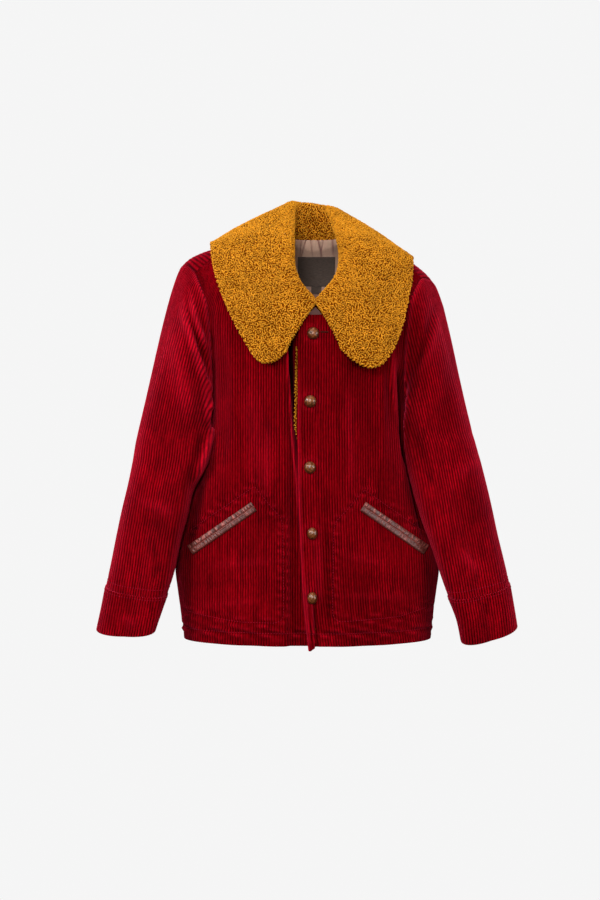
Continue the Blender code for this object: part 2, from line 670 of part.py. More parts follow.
def dome_button(name, spot):
    """Domed button whose back lies on the overlapping front."""
    seat = lie_on(1, np.array(spot.x), np.array(spot.height), SEAM + 0.0004)
    tip = lie_on(1, np.array(spot.x), np.array(spot.height), 0.01)
    axis = (tip - seat) / np.linalg.norm(tip - seat)
    work = bmesh.new()
    bmesh.ops.create_uvsphere(work, u_segments=14, v_segments=8, radius=1.0)
    for vertex in work.verts:
        vertex.co.x *= BUTTON_RADIUS
        vertex.co.y *= BUTTON_RADIUS
        vertex.co.z = vertex.co.z * BUTTON_DOME if vertex.co.z > 0 else vertex.co.z * 0.0016
        vertex.co.z += 0.0016
    mesh = bpy.data.meshes.new(name)
    work.to_mesh(mesh)
    work.free()
    part = finish(name, mesh, BUTTON)
    side = np.cross(np.array([0.0, 0.0, 1.0]), axis)
    side = side / np.linalg.norm(side)
    up = np.cross(axis, side)
    turn = np.stack([side, up, axis], axis=1)
    for vertex in mesh.vertices:
        vertex.co = turn @ np.array(vertex.co) + seat
    return part


def lining_point(x, rise, depth):
    """Points inside the back by a depth below its outer face."""
    step = 0.004
    centre = torso(x, rise, 1)
    across = torso(np.asarray(x) + step, rise, 1) - centre
    up = torso(x, np.asarray(rise) + step, 1) - centre
    normal = np.cross(up, across)
    normal = normal / np.linalg.norm(normal, axis=-1, keepdims=True)
    return centre - normal * depth


def back_tag(name, middle, top, size, depth, colour):
    """A small flat tag on the inner face of the back lining."""
    x = np.linspace(middle - size[0] / 2, middle + size[0] / 2, 6)
    z = np.linspace(top - size[1], top, 5)
    x, z = np.meshgrid(x, z)
    grid = lining_point(x, torso_rise(x, z), depth)
    return panel_object(name, grid, TAG_WALL, colour, outward=True)


for old in list(bpy.data.objects):
    bpy.data.objects.remove(old, do_unlink=True)
coat = bpy.data.collections.new("corduroy_coat")
bpy.context.scene.collection.children.link(coat)

# Body panels
below = np.linspace(0, UNDERARM, 10)
front_above = np.linspace(UNDERARM, FRONT_TOP, 11)[1:-1]
front_levels = np.concatenate([below, front_above, [FRONT_TOP - 0.012, FRONT_TOP]])
back_above = np.linspace(UNDERARM, 2.0, 12)[1:]
back_over = np.linspace(2.0, BACK_TOP, 5)[1:-1]
back_levels = np.concatenate([below, back_above, back_over, [BACK_TOP - 0.012, BACK_TOP]])
over_lap = [0.0, 0.012, 0.07, 0.14, 0.21, 0.28, 0.35, 0.42]
over_places = np.concatenate([over_lap, np.linspace(0.50, 0.97, 7), [0.99, 1.0]])
under_lap = [0.0, 0.012, 0.10, 0.20, 0.235, 0.27]
under_fold = np.linspace(0.31, 0.50, 5)
under_places = np.concatenate([under_lap, under_fold, np.linspace(0.57, 0.96, 6), [0.99, 1.0]])
half_places = np.concatenate([[0.0, 0.004], np.linspace(0.02, 0.5, 11)])
back_places = np.concatenate([half_places, 1.0 - half_places[-2::-1]])
front_left = front_grid(1, over_places, front_levels)
front_right = front_grid(-1, under_places, front_levels)
back = back_grid(back_places, back_levels)
panel_object("front_left", front_left, WALL, CORDUROY)
panel_object("front_right", front_right, WALL, CORDUROY, flip=True)
panel_object("back", back, WALL, CORDUROY, flip=True)

# Sleeves and cuffs
for side, name, rows, folds, front in (
    (1, "left", SLEEVE_LEFT, SLEEVE_LEFT_FOLDS, front_left),
    (-1, "right", SLEEVE_RIGHT, SLEEVE_RIGHT_FOLDS, front_right),
):
    loop, underarm = armhole_loop(side, front, back, front_levels, back_levels)
    turns = loop_turns(loop, underarm)
    sleeve = sleeve_grid(side, rows, folds, loop, turns)
    cuff = cuff_grid(side, rows, turns)
    panel_object("sleeve_" + name, sleeve, WALL, CORDUROY, closed=True, flip=side < 0)
    panel_object("cuff_" + name, cuff, WALL, CORDUROY, closed=True, flip=side < 0)

# Collar, one fleece sheet from front end to front end
steps = np.linspace(0.0, 1.0, COLLAR_STEPS + 1)
turns = COLLAR_END * (1 - (1 - steps) ** 1.35)
right_line = neckline(-1, front_right, back)
left_line = neckline(1, front_left, back)
right_side = [collar_profile(-1, turn, right_line) for turn in turns[::-1]]
left_side = [collar_profile(1, turn, left_line) for turn in turns[1:]]
collar = np.array(right_side + left_side)
panel_object("collar", collar, PILE, FLEECE, flip=True, outward=True, even=False)

# Fleece facing inside the overlapping front
facing_levels = np.linspace(0.03, 1.16, 20)
facing_rows = []
for level in facing_levels:
    x = np.linspace(float(smooth(LAP_EDGE, "rise", "facing_edge", level)), FACING_INNER, 5)
    line = torso(x, front_rise(x, level), -1)
    line[:, 1] -= LAP_LIFT - WALL - FACING_GAP
    facing_rows.append(line)
panel_object("facing_left", np.array(facing_rows), FACING_PILE, FLEECE)

# Lining, label and size tab inside the back of the neck
lining_places = np.linspace(-1, 1, 13)
lining_rows = []
for share in np.concatenate([np.linspace(0, 0.6, 5), np.linspace(0.6, 1, 9)[1:]]):
    x = NECK_X * share + LINING_HALF * lining_places
    top = np.minimum(back_rise(x, BACK_TOP) - 0.05, 1.86)
    rise = LINING_LOW + (top - LINING_LOW) * share
    lining_rows.append(lining_point(x, rise, LINING_DEPTH))
panel_object("lining_back", np.array(lining_rows), LINING_WALL, LINING, flip=True)
tag_depth = LINING_DEPTH + LINING_WALL + 0.0010
back_tag("label", LABEL_X, LABEL_TOP, LABEL_SIZE, tag_depth, LABEL)
back_tag("size_tab", LABEL_X, LABEL_TOP - LABEL_SIZE[1] - 0.0006, TAB_SIZE, tag_depth, LABEL)

# Pocket lips and buttons
for side, name in ((1, "left"), (-1, "right")):
    pocket_lip("pocket_lip_upper_" + name, side, True)
    pocket_lip("pocket_lip_lower_" + name, side, False)
for number, spot in enumerate(BUTTONS, start=1):
    dome_button("button_" + str(number), spot)
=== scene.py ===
import math
from collections import namedtuple

import bpy
import numpy as np
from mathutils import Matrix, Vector
from mathutils.bvhtree import BVHTree
from mathutils.kdtree import KDTree


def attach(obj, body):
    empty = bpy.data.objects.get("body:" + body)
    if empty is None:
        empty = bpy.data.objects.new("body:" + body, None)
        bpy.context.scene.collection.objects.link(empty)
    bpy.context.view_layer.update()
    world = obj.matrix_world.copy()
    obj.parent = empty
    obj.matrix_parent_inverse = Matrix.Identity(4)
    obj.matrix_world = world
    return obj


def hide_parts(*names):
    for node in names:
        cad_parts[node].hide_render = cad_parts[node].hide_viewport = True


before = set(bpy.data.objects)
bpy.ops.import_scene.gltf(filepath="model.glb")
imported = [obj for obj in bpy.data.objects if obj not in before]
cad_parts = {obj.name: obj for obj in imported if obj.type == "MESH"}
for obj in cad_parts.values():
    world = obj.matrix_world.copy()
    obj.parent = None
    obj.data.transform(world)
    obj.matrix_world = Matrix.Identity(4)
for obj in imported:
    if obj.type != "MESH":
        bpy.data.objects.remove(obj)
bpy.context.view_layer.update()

# Body of the coat: a back and two fronts in deep red wide-wale corduroy, cut with the wales upright.
# The rows rise from the hem to the shoulder ridge; the back runs on over the ridge to a forward seam.
# The rise is 0 at the hem, 1 where the shoulder starts to round and 2 on the ridge.
WALL = 0.0022
SEAM = 0.0003
HEM = -0.641
ROUND_START = -0.170
SQUARENESS = 2.4
RIDGE_Y = 0.005
NECK_X = 0.010
NECK_HALF = 0.075
UNDERARM = 0.756
FRONT_TOP = 1.550
BACK_TOP = 4.0 - FRONT_TOP
FRONT_NECK = 1.126
BACK_NECK = 1.689
SEAM_FULL = 0.190
SEAM_RISE = 0.009

Section = namedtuple("Section", "rise right_half left_half front_depth back_depth")
BODY_SECTIONS = (
    Section(0.00, 0.197, 0.195, 0.119, 0.110),
    Section(0.05, 0.200, 0.198, 0.120, 0.111),
    Section(0.10, 0.203, 0.200, 0.121, 0.112),
    Section(0.16, 0.207, 0.204, 0.121, 0.112),
    Section(0.24, 0.211, 0.208, 0.122, 0.113),
    Section(0.32, 0.207, 0.200, 0.123, 0.114),
    Section(0.40, 0.199, 0.188, 0.124, 0.115),
    Section(0.48, 0.189, 0.176, 0.126, 0.116),
    Section(0.55, 0.178, 0.167, 0.128, 0.117),
    Section(0.63, 0.166, 0.160, 0.129, 0.118),
    Section(0.72, 0.157, 0.156, 0.129, 0.119),
    Section(0.80, 0.156, 0.156, 0.128, 0.120),
    Section(0.90, 0.161, 0.161, 0.127, 0.120),
    Section(1.00, 0.168, 0.168, 0.125, 0.119),
    Section(1.20, 0.178, 0.178, 0.122, 0.117),
    Section(1.55, 0.197, 0.197, 0.117, 0.112),
    Section(2.00, 0.213, 0.213, 0.112, 0.108),
)
Ridge = namedtuple("Ridge", "out right_height left_height")
SHOULDER_RIDGE = (
    Ridge(0.000, 0.008, 0.008),
    Ridge(0.050, 0.008, 0.006),
    Ridge(0.075, 0.006, 0.001),
    Ridge(0.110, -0.005, -0.014),
    Ridge(0.150, -0.021, -0.034),
    Ridge(0.175, -0.030, -0.050),
    Ridge(0.190, -0.038, -0.063),
    Ridge(0.205, -0.052, -0.081),
    Ridge(0.220, -0.068, -0.098),
)
Armhole = namedtuple("Armhole", "rise share")
FRONT_ARMHOLE = (
    Armhole(UNDERARM, 1.000),
    Armhole(0.785, 0.980),
    Armhole(0.83, 0.960),
    Armhole(0.90, 0.940),
    Armhole(1.00, 0.914),
    Armhole(1.20, 0.893),
    Armhole(1.40, 0.903),
    Armhole(FRONT_TOP, 0.905),
)
BACK_ARMHOLE = (
    Armhole(UNDERARM, 1.000),
    Armhole(0.785, 0.984),
    Armhole(0.83, 0.966),
    Armhole(0.90, 0.950),
    Armhole(1.00, 0.936),
    Armhole(1.20, 0.926),
    Armhole(1.60, 0.930),
    Armhole(2.00, 0.953),
    Armhole(2.25, 0.938),
    Armhole(BACK_TOP, 0.905),
)
LAP_LIFT = 0.0100
LAP_FLAT = 0.040
LAP_FADE = 0.110
LAP_TOP = -0.080
LAP_TOP_FADE = 0.045
UNDER_EDGE = 0.036
UNDER_DIP = 0.0006
UNDER_DIP_FADE = 0.012
FOLD_X = -0.037
FOLD_LIFT = 0.0075
FOLD_STEEP = 0.010
FOLD_SOFT = 0.060
FOLD_FLAT = 0.004
TIP_X = 0.0030
TIP_HALF = 0.0048
TIP_RISE = 0.05
TIP_DROP = 0.0065
TIP_ROLL = 0.0040
Lap = namedtuple("Lap", "rise edge facing_edge")
LAP_EDGE = (
    Lap(0.00, -0.001, 0.003),
    Lap(0.12, -0.008, -0.004),
    Lap(0.35, -0.014, -0.010),
    Lap(0.50, -0.0165, -0.012),
    Lap(0.66, -0.0172, -0.0135),
    Lap(0.76, -0.0178, -0.0205),
    Lap(0.88, -0.0170, -0.0200),
    Lap(1.20, -0.0165, -0.0180),
)
HALF_GIRTH = 0.22
Fold = namedtuple("Fold", "low_place high_place low_rise high_rise half_width height")
FRONT_FOLDS = (
    Fold(0.66, 0.80, 0.50, 1.15, 0.016, 0.0045),
    Fold(0.55, 0.50, 0.00, 0.45, 0.030, 0.0040),
    Fold(0.30, 0.34, 0.00, 0.60, 0.028, 0.0030),
)
BACK_FOLDS = (
    Fold(0.30, 0.26, 0.00, 0.80, 0.035, 0.0050),
    Fold(0.62, 0.72, 0.40, 1.10, 0.020, 0.0045),
)

# Creases seen from the front or from behind, as ridges (height above 0) or troughs (below 0)
# On the corduroy the heights also set the colour: troughs are painted darker as painted shade, ridges pinker
# as painted highlight.
Crease = namedtuple("Crease", "x_from z_from x_to z_to half_width height")
FRONT_CREASES = (
    Crease(0.128, -0.180, 0.134, -0.285, 0.0042, 0.0034),
    Crease(0.120, -0.190, 0.125, -0.300, 0.0060, -0.0022),
    Crease(0.028, -0.455, 0.031, -0.615, 0.0060, -0.0030),
    Crease(0.016, -0.480, 0.017, -0.560, 0.0110, 0.0012),
    Crease(-0.090, -0.250, -0.070, -0.400, 0.0140, 0.0008),
    Crease(-0.120, -0.300, -0.150, -0.420, 0.0120, -0.0010),
    Crease(0.090, -0.300, 0.120, -0.420, 0.0140, -0.0010),
    Crease(-0.150, -0.520, -0.050, -0.511, 0.0045, 0.0012),
    Crease(-0.172, -0.552, -0.060, -0.546, 0.0050, -0.0012),
    Crease(-0.165, -0.583, -0.080, -0.573, 0.0050, 0.0010),
    Crease(0.050, -0.500, 0.120, -0.517, 0.0045, 0.0012),
    Crease(0.045, -0.530, 0.160, -0.547, 0.0050, -0.0012),
    Crease(0.050, -0.562, 0.165, -0.570, 0.0050, 0.0010),
    Crease(-0.060, -0.300, -0.064, -0.410, 0.0040, 0.0012),
    Crease(-0.105, -0.330, -0.100, -0.400, 0.0050, -0.0012),
    Crease(0.060, -0.250, 0.066, -0.400, 0.0060, 0.0010),
)
OVER_CREASES = (
    Crease(-0.0142, -0.240, -0.0142, -0.440, 0.0017, 0.0036),
    Crease(-0.0144, -0.370, -0.0108, -0.500, 0.0017, 0.0040),
    Crease(-0.0122, -0.450, -0.0050, -0.605, 0.0017, 0.0044),
    Crease(-0.0085, -0.540, 0.0025, -0.670, 0.0017, 0.0044),
    # Body and sleeve gap: troughs that also paint the body darker beside the sleeve as painted shadow.
    Crease(0.1415, -0.215, 0.1490, -0.350, 0.0034, -0.0080),
    Crease(0.1465, -0.320, 0.1790, -0.470, 0.0034, -0.0095),
    Crease(-0.0030, -0.540, 0.0030, -0.670, 0.0022, 0.0034),
    Crease(0.0040, -0.560, 0.0090, -0.670, 0.0018, 0.0026),
    Crease(0.0010, -0.560, 0.0062, -0.670, 0.0014, -0.0020),
    Crease(0.0085, -0.560, 0.0130, -0.670, 0.0024, -0.0030),
)
# The deep troughs here also paint the under-front darker beside the overlap and beside the sleeve as painted
# shadow.
UNDER_CREASES = (
    Crease(-0.0415, -0.090, -0.0225, -0.350, 0.0020, 0.0046),
    Crease(-0.0275, -0.280, -0.0085, -0.500, 0.0020, 0.0042),
    Crease(-0.0330, -0.070, -0.0215, -0.310, 0.0046, -0.0085),
    Crease(-0.0200, -0.290, -0.0085, -0.430, 0.0024, -0.0070),
    Crease(-0.1580, -0.310, -0.1880, -0.510, 0.0100, -0.0034),
)
BACK_CREASES = (
    Crease(-0.150, -0.150, -0.110, -0.300, 0.0100, 0.0030),
    Crease(0.150, -0.150, 0.110, -0.300, 0.0100, 0.0030),
    Crease(-0.100, -0.420, -0.020, -0.380, 0.0120, -0.0022),
    Crease(0.110, -0.440, 0.020, -0.400, 0.0120, -0.0022),
    Crease(-0.060, -0.520, -0.070, -0.640, 0.0160, 0.0026),
    Crease(0.080, -0.520, 0.090, -0.640, 0.0160, 0.0026),
)
# Wale valley, flank and crest: the near-black valley is painted shade in the groove, on top of the real
# groove shape.
CORDUROY_RED_GROOVE_SHADED = ((0.008, 0.0000, 0.0001, 1), (0.085, 0.0001, 0.0009, 1), (0.230, 0.0004, 0.0042, 1))
NAP_TINT = (1.0, 0.05, 0.12, 1)
# The lining's taupe is painted lighter than the cloth as painted light, standing in for light that barely
# reaches inside.
LINING_TAUPE_LIGHTENED = (0.720, 0.460, 0.335, 1)
# Painted shade: the dark reddish tone of the lining in its creases and deep inside the coat.
LINING_FOLD_SHADE = (0.300, 0.140, 0.120, 1)
WALE_PITCH = 0.0040
WALE_HEIGHT = 0.0010
WALE_STEPS = (0.0, 0.27, 0.5, 0.73)
WALE_RISES = (0.0, 0.80, 1.0, 0.80)
FRONT_ROW = 0.0052
BACK_ROW = 0.009
EDGE_MARGIN = 0.0003
EDGE_RISE = 0.002
EDGE_FADE = 0.012
SEWN_FADE = 0.025
SEAM_DIP = 0.0008
SEAM_DIP_HALF = 0.003
SHOULDER_LEAN = 0.33
SHOULDER_SPREAD = 0.76
WALE_WANDER = 0.00014
# Crease heights turned into painted shade in troughs and grooves and a pink painted highlight on ridges.
CREASE_SHADING_FULL = 0.0042
CREASE_HIGHLIGHT_PINK = (0.070, 0.002, 0.006)


def smooth(rows, key, name, at):
    """Cubic curve through one column of a table."""
    knots = np.array([getattr(row, key) for row in rows])
    values = np.array([getattr(row, name) for row in rows])
    slopes = np.gradient(values, knots)
    at = np.clip(np.asarray(at, float), knots[0], knots[-1])
    index = np.clip(np.searchsorted(knots, at, side="right") - 1, 0, len(knots) - 2)
    span = knots[index + 1] - knots[index]
    t = (at - knots[index]) / span
    start = values[index] * (1 + 2 * t) * (1 - t) ** 2 + slopes[index] * span * t * (1 - t) ** 2
    end = values[index + 1] * t * t * (3 - 2 * t) + slopes[index + 1] * span * t * t * (t - 1)
    return start + end


def fade(low, high, at):
    """0 below low, 1 above high, smooth between."""
    t = np.clip((np.asarray(at, float) - low) / (high - low), 0.0, 1.0)
    return t * t * (3 - 2 * t)


def bell(apart, half_width):
    """1 at no distance, dying away softly over a half width."""
    return np.exp(-(apart / half_width) ** 2)


def ridge_height(x):
    """Height of the shoulder ridge at a distance across."""
    right = smooth(SHOULDER_RIDGE, "out", "right_height", np.abs(x))
    left = smooth(SHOULDER_RIDGE, "out", "left_height", np.abs(x))
    return np.where(np.asarray(x) < 0, right, left)


def half_width(x, level):
    """Half width of the body on the side that x lies on."""
    right = smooth(BODY_SECTIONS, "rise", "right_half", level)
    left = smooth(BODY_SECTIONS, "rise", "left_half", level)
    return np.where(np.asarray(x) < 0, right, left)


def torso(x, rise, face):
    """Points of the body at a distance across and a rise; face is -1 in front and 1 behind."""
    x, rise = np.broadcast_arrays(np.asarray(x, float), np.asarray(rise, float))
    turn = np.clip(2.0 - rise, -1.0, 1.0) * math.pi / 2
    straight = HEM + (ROUND_START - HEM) * rise
    rounded = ROUND_START + (ridge_height(x) - ROUND_START) * np.cos(turn)
    z = np.where(rise < 1, straight, rounded)
    level = np.where(rise > 2, 4 - rise, rise)
    front = smooth(BODY_SECTIONS, "rise", "front_depth", level)
    back = smooth(BODY_SECTIONS, "rise", "back_depth", level)
    depth = np.where(face * np.sin(turn) < 0, front, back)
    part = np.clip(np.abs(x) / half_width(x, level), 0.0, 1.0)
    y = RIDGE_Y + face * depth * np.sin(turn) * (1 - part ** SQUARENESS) ** (1 / SQUARENESS)
    return np.stack([x, y, z], axis=-1)


def torso_rise(x, z):
    """Rise of a point of the body below the ridge, from its height."""
    lifted = np.clip((z - ROUND_START) / (ridge_height(x) - ROUND_START), 0.0, 1.0)
    rounded = 2 - np.arccos(lifted) / (math.pi / 2)
    return np.where(z > ROUND_START, rounded, (z - HEM) / (ROUND_START - HEM))


def shoulder_seam(x):
    """How far the shoulder seam lies in front of the ridge, in rise."""
    out = np.abs(x - NECK_X)
    return (BACK_TOP - 2.0) * np.clip((out - NECK_HALF) / (SEAM_FULL - NECK_HALF), 0, 1)


def front_rise(x, level):
    """Rise of a front row at a distance across; the top row is the neckline and shoulder seam."""
    out = np.clip(np.abs(x - NECK_X) / NECK_HALF, 0, 1)
    end = FRONT_NECK + (2.0 - FRONT_NECK) * out ** 3 - shoulder_seam(x) - SEAM_RISE
    share = np.clip((level / FRONT_TOP - 0.35) / 0.65, 0, 1) ** 1.4
    return level + (end - FRONT_TOP) * share


def back_rise(x, level):
    """Rise of a back row at a distance across; the top row is the neckline and shoulder seam."""
    out = np.clip(np.abs(x - NECK_X) / NECK_HALF, 0, 1)
    end = BACK_NECK + (2.0 - BACK_NECK) * out ** 2 + shoulder_seam(x)
    share = np.clip((level / BACK_TOP - 0.5) / 0.5, 0, 1) ** 1.4
    return level + (end - BACK_TOP) * share


def side_x(side, level, armhole):
    """Distance out of the side seam, or of the armhole above it."""
    mirrored = np.where(level > 2, 4 - level, level)
    share = np.where(level > UNDERARM, smooth(armhole, "rise", "share", level), 1.0)
    return half_width(side, mirrored) * share


def grid_normals(grid):
    """Directions square to the cloth at the points of a grid."""
    normal = np.cross(np.gradient(grid, axis=1), np.gradient(grid, axis=0))
    return normal / np.maximum(np.linalg.norm(normal, axis=-1, keepdims=True), 1e-9)


def fold_height(folds, place, rise, girth):
    """Sum of the folds at a share of the half girth and a rise."""
    total = np.zeros(np.broadcast(place, rise).shape)
    for fold in folds:
        way = (rise - fold.low_rise) / (fold.high_rise - fold.low_rise)
        middle = fold.low_place + (fold.high_place - fold.low_place) * way
        apart = (place - middle) * girth
        ends = fade(1.0, 0.7, way)
        ends = ends * (fade(-0.02, 0.25, way) if fold.low_rise > 0 else (way > -0.01))
        total = total + fold.height * ends * bell(apart, fold.half_width)
    return total


def lap_lift(side, x, z):
    """How far a front stands off at the opening."""
    if side > 0:
        return LAP_LIFT * fade(LAP_FADE, LAP_FLAT, x) * fade(LAP_TOP, LAP_TOP - LAP_TOP_FADE, z)
    crest = fade(FOLD_X + FOLD_STEEP, FOLD_X, x) * fade(FOLD_X - FOLD_SOFT, FOLD_X - FOLD_FLAT, x)
    return FOLD_LIFT * crest - UNDER_DIP * fade(FOLD_X, FOLD_X + UNDER_DIP_FADE, x)


def front_grid(side, levels, samples=260):
    """Close rows of outer points of a front, from its opening edge to its side."""
    spread = np.sin(np.linspace(0, math.pi / 2, samples))
    rows = []
    for level in levels:
        end = side * side_x(side, level, FRONT_ARMHOLE)
        start = smooth(LAP_EDGE, "rise", "edge", level) if side > 0 else UNDER_EDGE
        x = start + (end - start) * spread
        line = torso(x, front_rise(x, level), -1)
        line[:, 1] = np.minimum(line[:, 1], RIDGE_Y - SEAM)
        rows.append(line)
    grid = np.array(rows)
    rise = front_rise(grid[..., 0], np.asarray(levels)[:, None])
    place = np.abs(grid[..., 0]) / np.abs(grid[:, -1:, 0])
    height = fold_height(FRONT_FOLDS, place, rise, HALF_GIRTH) * fade(1.0, 0.9, place)
    grid = grid + grid_normals(grid) * side * height[..., None]
    grid[..., 1] -= lap_lift(side, grid[..., 0], grid[..., 2])
    if side > 0:
        tip = bell(grid[..., 0] - TIP_X, TIP_HALF)
        grid[..., 2] -= TIP_DROP * tip * fade(TIP_RISE, 0.0, rise)
        grid[..., 1] -= TIP_ROLL * tip * fade(TIP_RISE * 3, 0.0, rise)
    return grid


def back_grid(levels, samples=420):
    """Close rows of outer points of the back, from the wearer's right to the left."""
    spread = np.sin(np.linspace(-math.pi / 2, math.pi / 2, samples))
    rows = []
    for level in levels:
        ends = np.where(spread < 0, side_x(-1, level, BACK_ARMHOLE), side_x(1, level, BACK_ARMHOLE))
        x = ends * spread
        line = torso(x, back_rise(x, level), 1)
        if level < 1:
            line[:, 1] = np.maximum(line[:, 1], RIDGE_Y + SEAM)
        rows.append(line)
    grid = np.array(rows)
    rise = back_rise(grid[..., 0], np.asarray(levels)[:, None])
    ends = np.where(grid[..., 0] < 0, np.abs(grid[:, :1, 0]), grid[:, -1:, 0])
    place = np.abs(grid[..., 0]) / ends
    height = fold_height(BACK_FOLDS, place, rise, HALF_GIRTH) * fade(1.0, 0.9, place)
    return grid - grid_normals(grid) * height[..., None]


def crease_height(creases, points, facing):
    """Sum of the creases that lie on the side of the coat that is seen."""
    total = np.zeros(len(points))
    for crease in creases:
        start = np.array([crease.x_from, crease.z_from])
        along = np.array([crease.x_to, crease.z_to]) - start
        length = np.linalg.norm(along)
        offset = points[:, [0, 2]] - start
        way = offset @ along / length ** 2
        apart = np.abs(offset[:, 0] * along[1] - offset[:, 1] * along[0]) / length
        ends = fade(-0.15, 0.25, way) * fade(1.15, 0.75, way)
        total += crease.height * ends * bell(apart, crease.half_width)
    return total * np.clip(facing * 3.0, 0.0, 1.0)


def path_distance(path, points):
    """Distance of points from a sewn line, both seen from the front."""
    nearest = np.full(len(points), 1.0)
    for start, end in zip(path[:-1], path[1:]):
        along = end - start
        way = np.clip((points - start) @ along / (along @ along), 0.0, 1.0)
        nearest = np.minimum(nearest, np.linalg.norm(points - start - way[:, None] * along, axis=1))
    return nearest


def quad_faces(ids):
    """Faces between the rows of an array of point numbers; equal neighbours give triangles."""
    corners = np.stack([ids[:-1, :-1], ids[:-1, 1:], ids[1:, 1:], ids[1:, :-1]], axis=-1).reshape(-1, 4)
    low_flat = corners[:, 0] == corners[:, 1]
    high_flat = corners[:, 2] == corners[:, 3]
    faces = corners[~low_flat & ~high_flat].tolist()
    faces += corners[low_flat & ~high_flat][:, [0, 2, 3]].tolist()
    faces += corners[high_flat & ~low_flat][:, [0, 1, 2]].tolist()
    return faces


def rim_faces(faces, count):
    """Faces that join the open edges of a sheet to the same edges of its inner copy."""
    used = set()
    for face in faces:
        used.update(zip(face, face[1:] + face[:1]))
    edges = [edge for edge in used if (edge[1], edge[0]) not in used]
    return [[b, a, a + count, b + count] for a, b in sorted(edges)]


def mesh_object(name, points, faces, materials, face_slots=None, sharp=80, **values):
    """A smooth mesh piece with its materials and named point values."""
    mesh = bpy.data.meshes.new(name)
    mesh.from_pydata(np.asarray(points).tolist(), [], faces)
    for material in materials:
        mesh.materials.append(material)
    if face_slots is not None:
        mesh.polygons.foreach_set("material_index", face_slots)
    for key, numbers in values.items():
        layer = mesh.attributes.new(key, "FLOAT", "POINT")
        layer.data.foreach_set("value", np.asarray(numbers, dtype=np.float32))
    mesh.shade_smooth()
    mesh.set_sharp_from_angle(angle=math.radians(sharp))
    piece = bpy.data.objects.new(name, mesh)
    bpy.context.scene.collection.objects.link(piece)
    return piece


def sheet_normals(points, faces):
    """Outward directions at the points of a mesh."""
    mesh = bpy.data.meshes.new("sheet_normals")
    mesh.from_pydata(points.tolist(), [], faces)
    normals = np.empty(len(points) * 3)
    mesh.vertices.foreach_get("normal", normals)
    bpy.data.meshes.remove(mesh)
    return normals.reshape(-1, 3)


def thick_sheet(name, points, faces, wall, heights, materials, **values):
    """Closed sheet: an outer face raised by heights, an inner face and the rims between them."""
    normals = sheet_normals(points, faces)
    outer = points + normals * np.broadcast_to(heights, len(points))[:, None]
    inner = points - normals * wall
    count = len(points)
    rims = rim_faces(faces, count)
    inside = [[i + count for i in face[::-1]] for face in faces]
    slots = [0] * (len(faces) + len(rims)) + [1] * len(inside)
    doubled = {key: np.concatenate([numbers, numbers]) for key, numbers in values.items()}
    both = np.concatenate([outer, inner])
    return mesh_object(name, both, faces + rims + inside, materials, slots, **doubled)


def row_lengths(grid):
    """Distance along each row from its first point."""
    steps = np.linalg.norm(np.diff(grid, axis=1), axis=2)
    return np.concatenate([np.zeros((len(grid), 1)), np.cumsum(steps, axis=1)], axis=1)


def level_lengths(grid):
    """Level distance along each row, where slants to the side count less than they measure."""
    steps = np.abs(np.diff(grid[..., :2], axis=1))
    whole = np.maximum(np.hypot(steps[..., 0], steps[..., 1]), 1e-9)
    weight = np.interp(steps[..., 1] / whole, (0.70, 0.97), (0.15, 1.0))
    steps = np.hypot(steps[..., 0], steps[..., 1] * weight)
    return np.concatenate([np.zeros((len(grid), 1)), np.cumsum(steps, axis=1)], axis=1)


def inner_faces(ids, columns, closed):
    """Coarser inner face of a sheet, the rims that close it, and the outer point behind each inner one."""
    kept = ids[:, columns]
    behind, places = np.unique(kept, return_inverse=True)
    inner = places.reshape(kept.shape) + ids.max() + 1
    inside = [face[::-1] for face in quad_faces(inner)]
    rims = []
    for row, upper in ((0, False), (len(ids) - 1, True)):
        for left in range(len(columns) - 1):
            chain = ids[row, columns[left]:columns[left + 1] + 1]
            chain = chain[np.concatenate([[True], chain[1:] != chain[:-1]])].tolist()
            pair = inner[row, [left, left + 1]].tolist()
            if pair[0] != pair[1]:
                rims.append(chain + pair[::-1] if upper else chain[::-1] + pair)
    if not closed:
        for row in range(len(ids) - 1):
            rims.append([ids[row, 0], ids[row + 1, 0], inner[row + 1, 0], inner[row, 0]])
            rims.append([ids[row + 1, -1], ids[row, -1], inner[row, -1], inner[row + 1, -1]])
    return inside, [[int(corner) for corner in rim] for rim in rims], behind


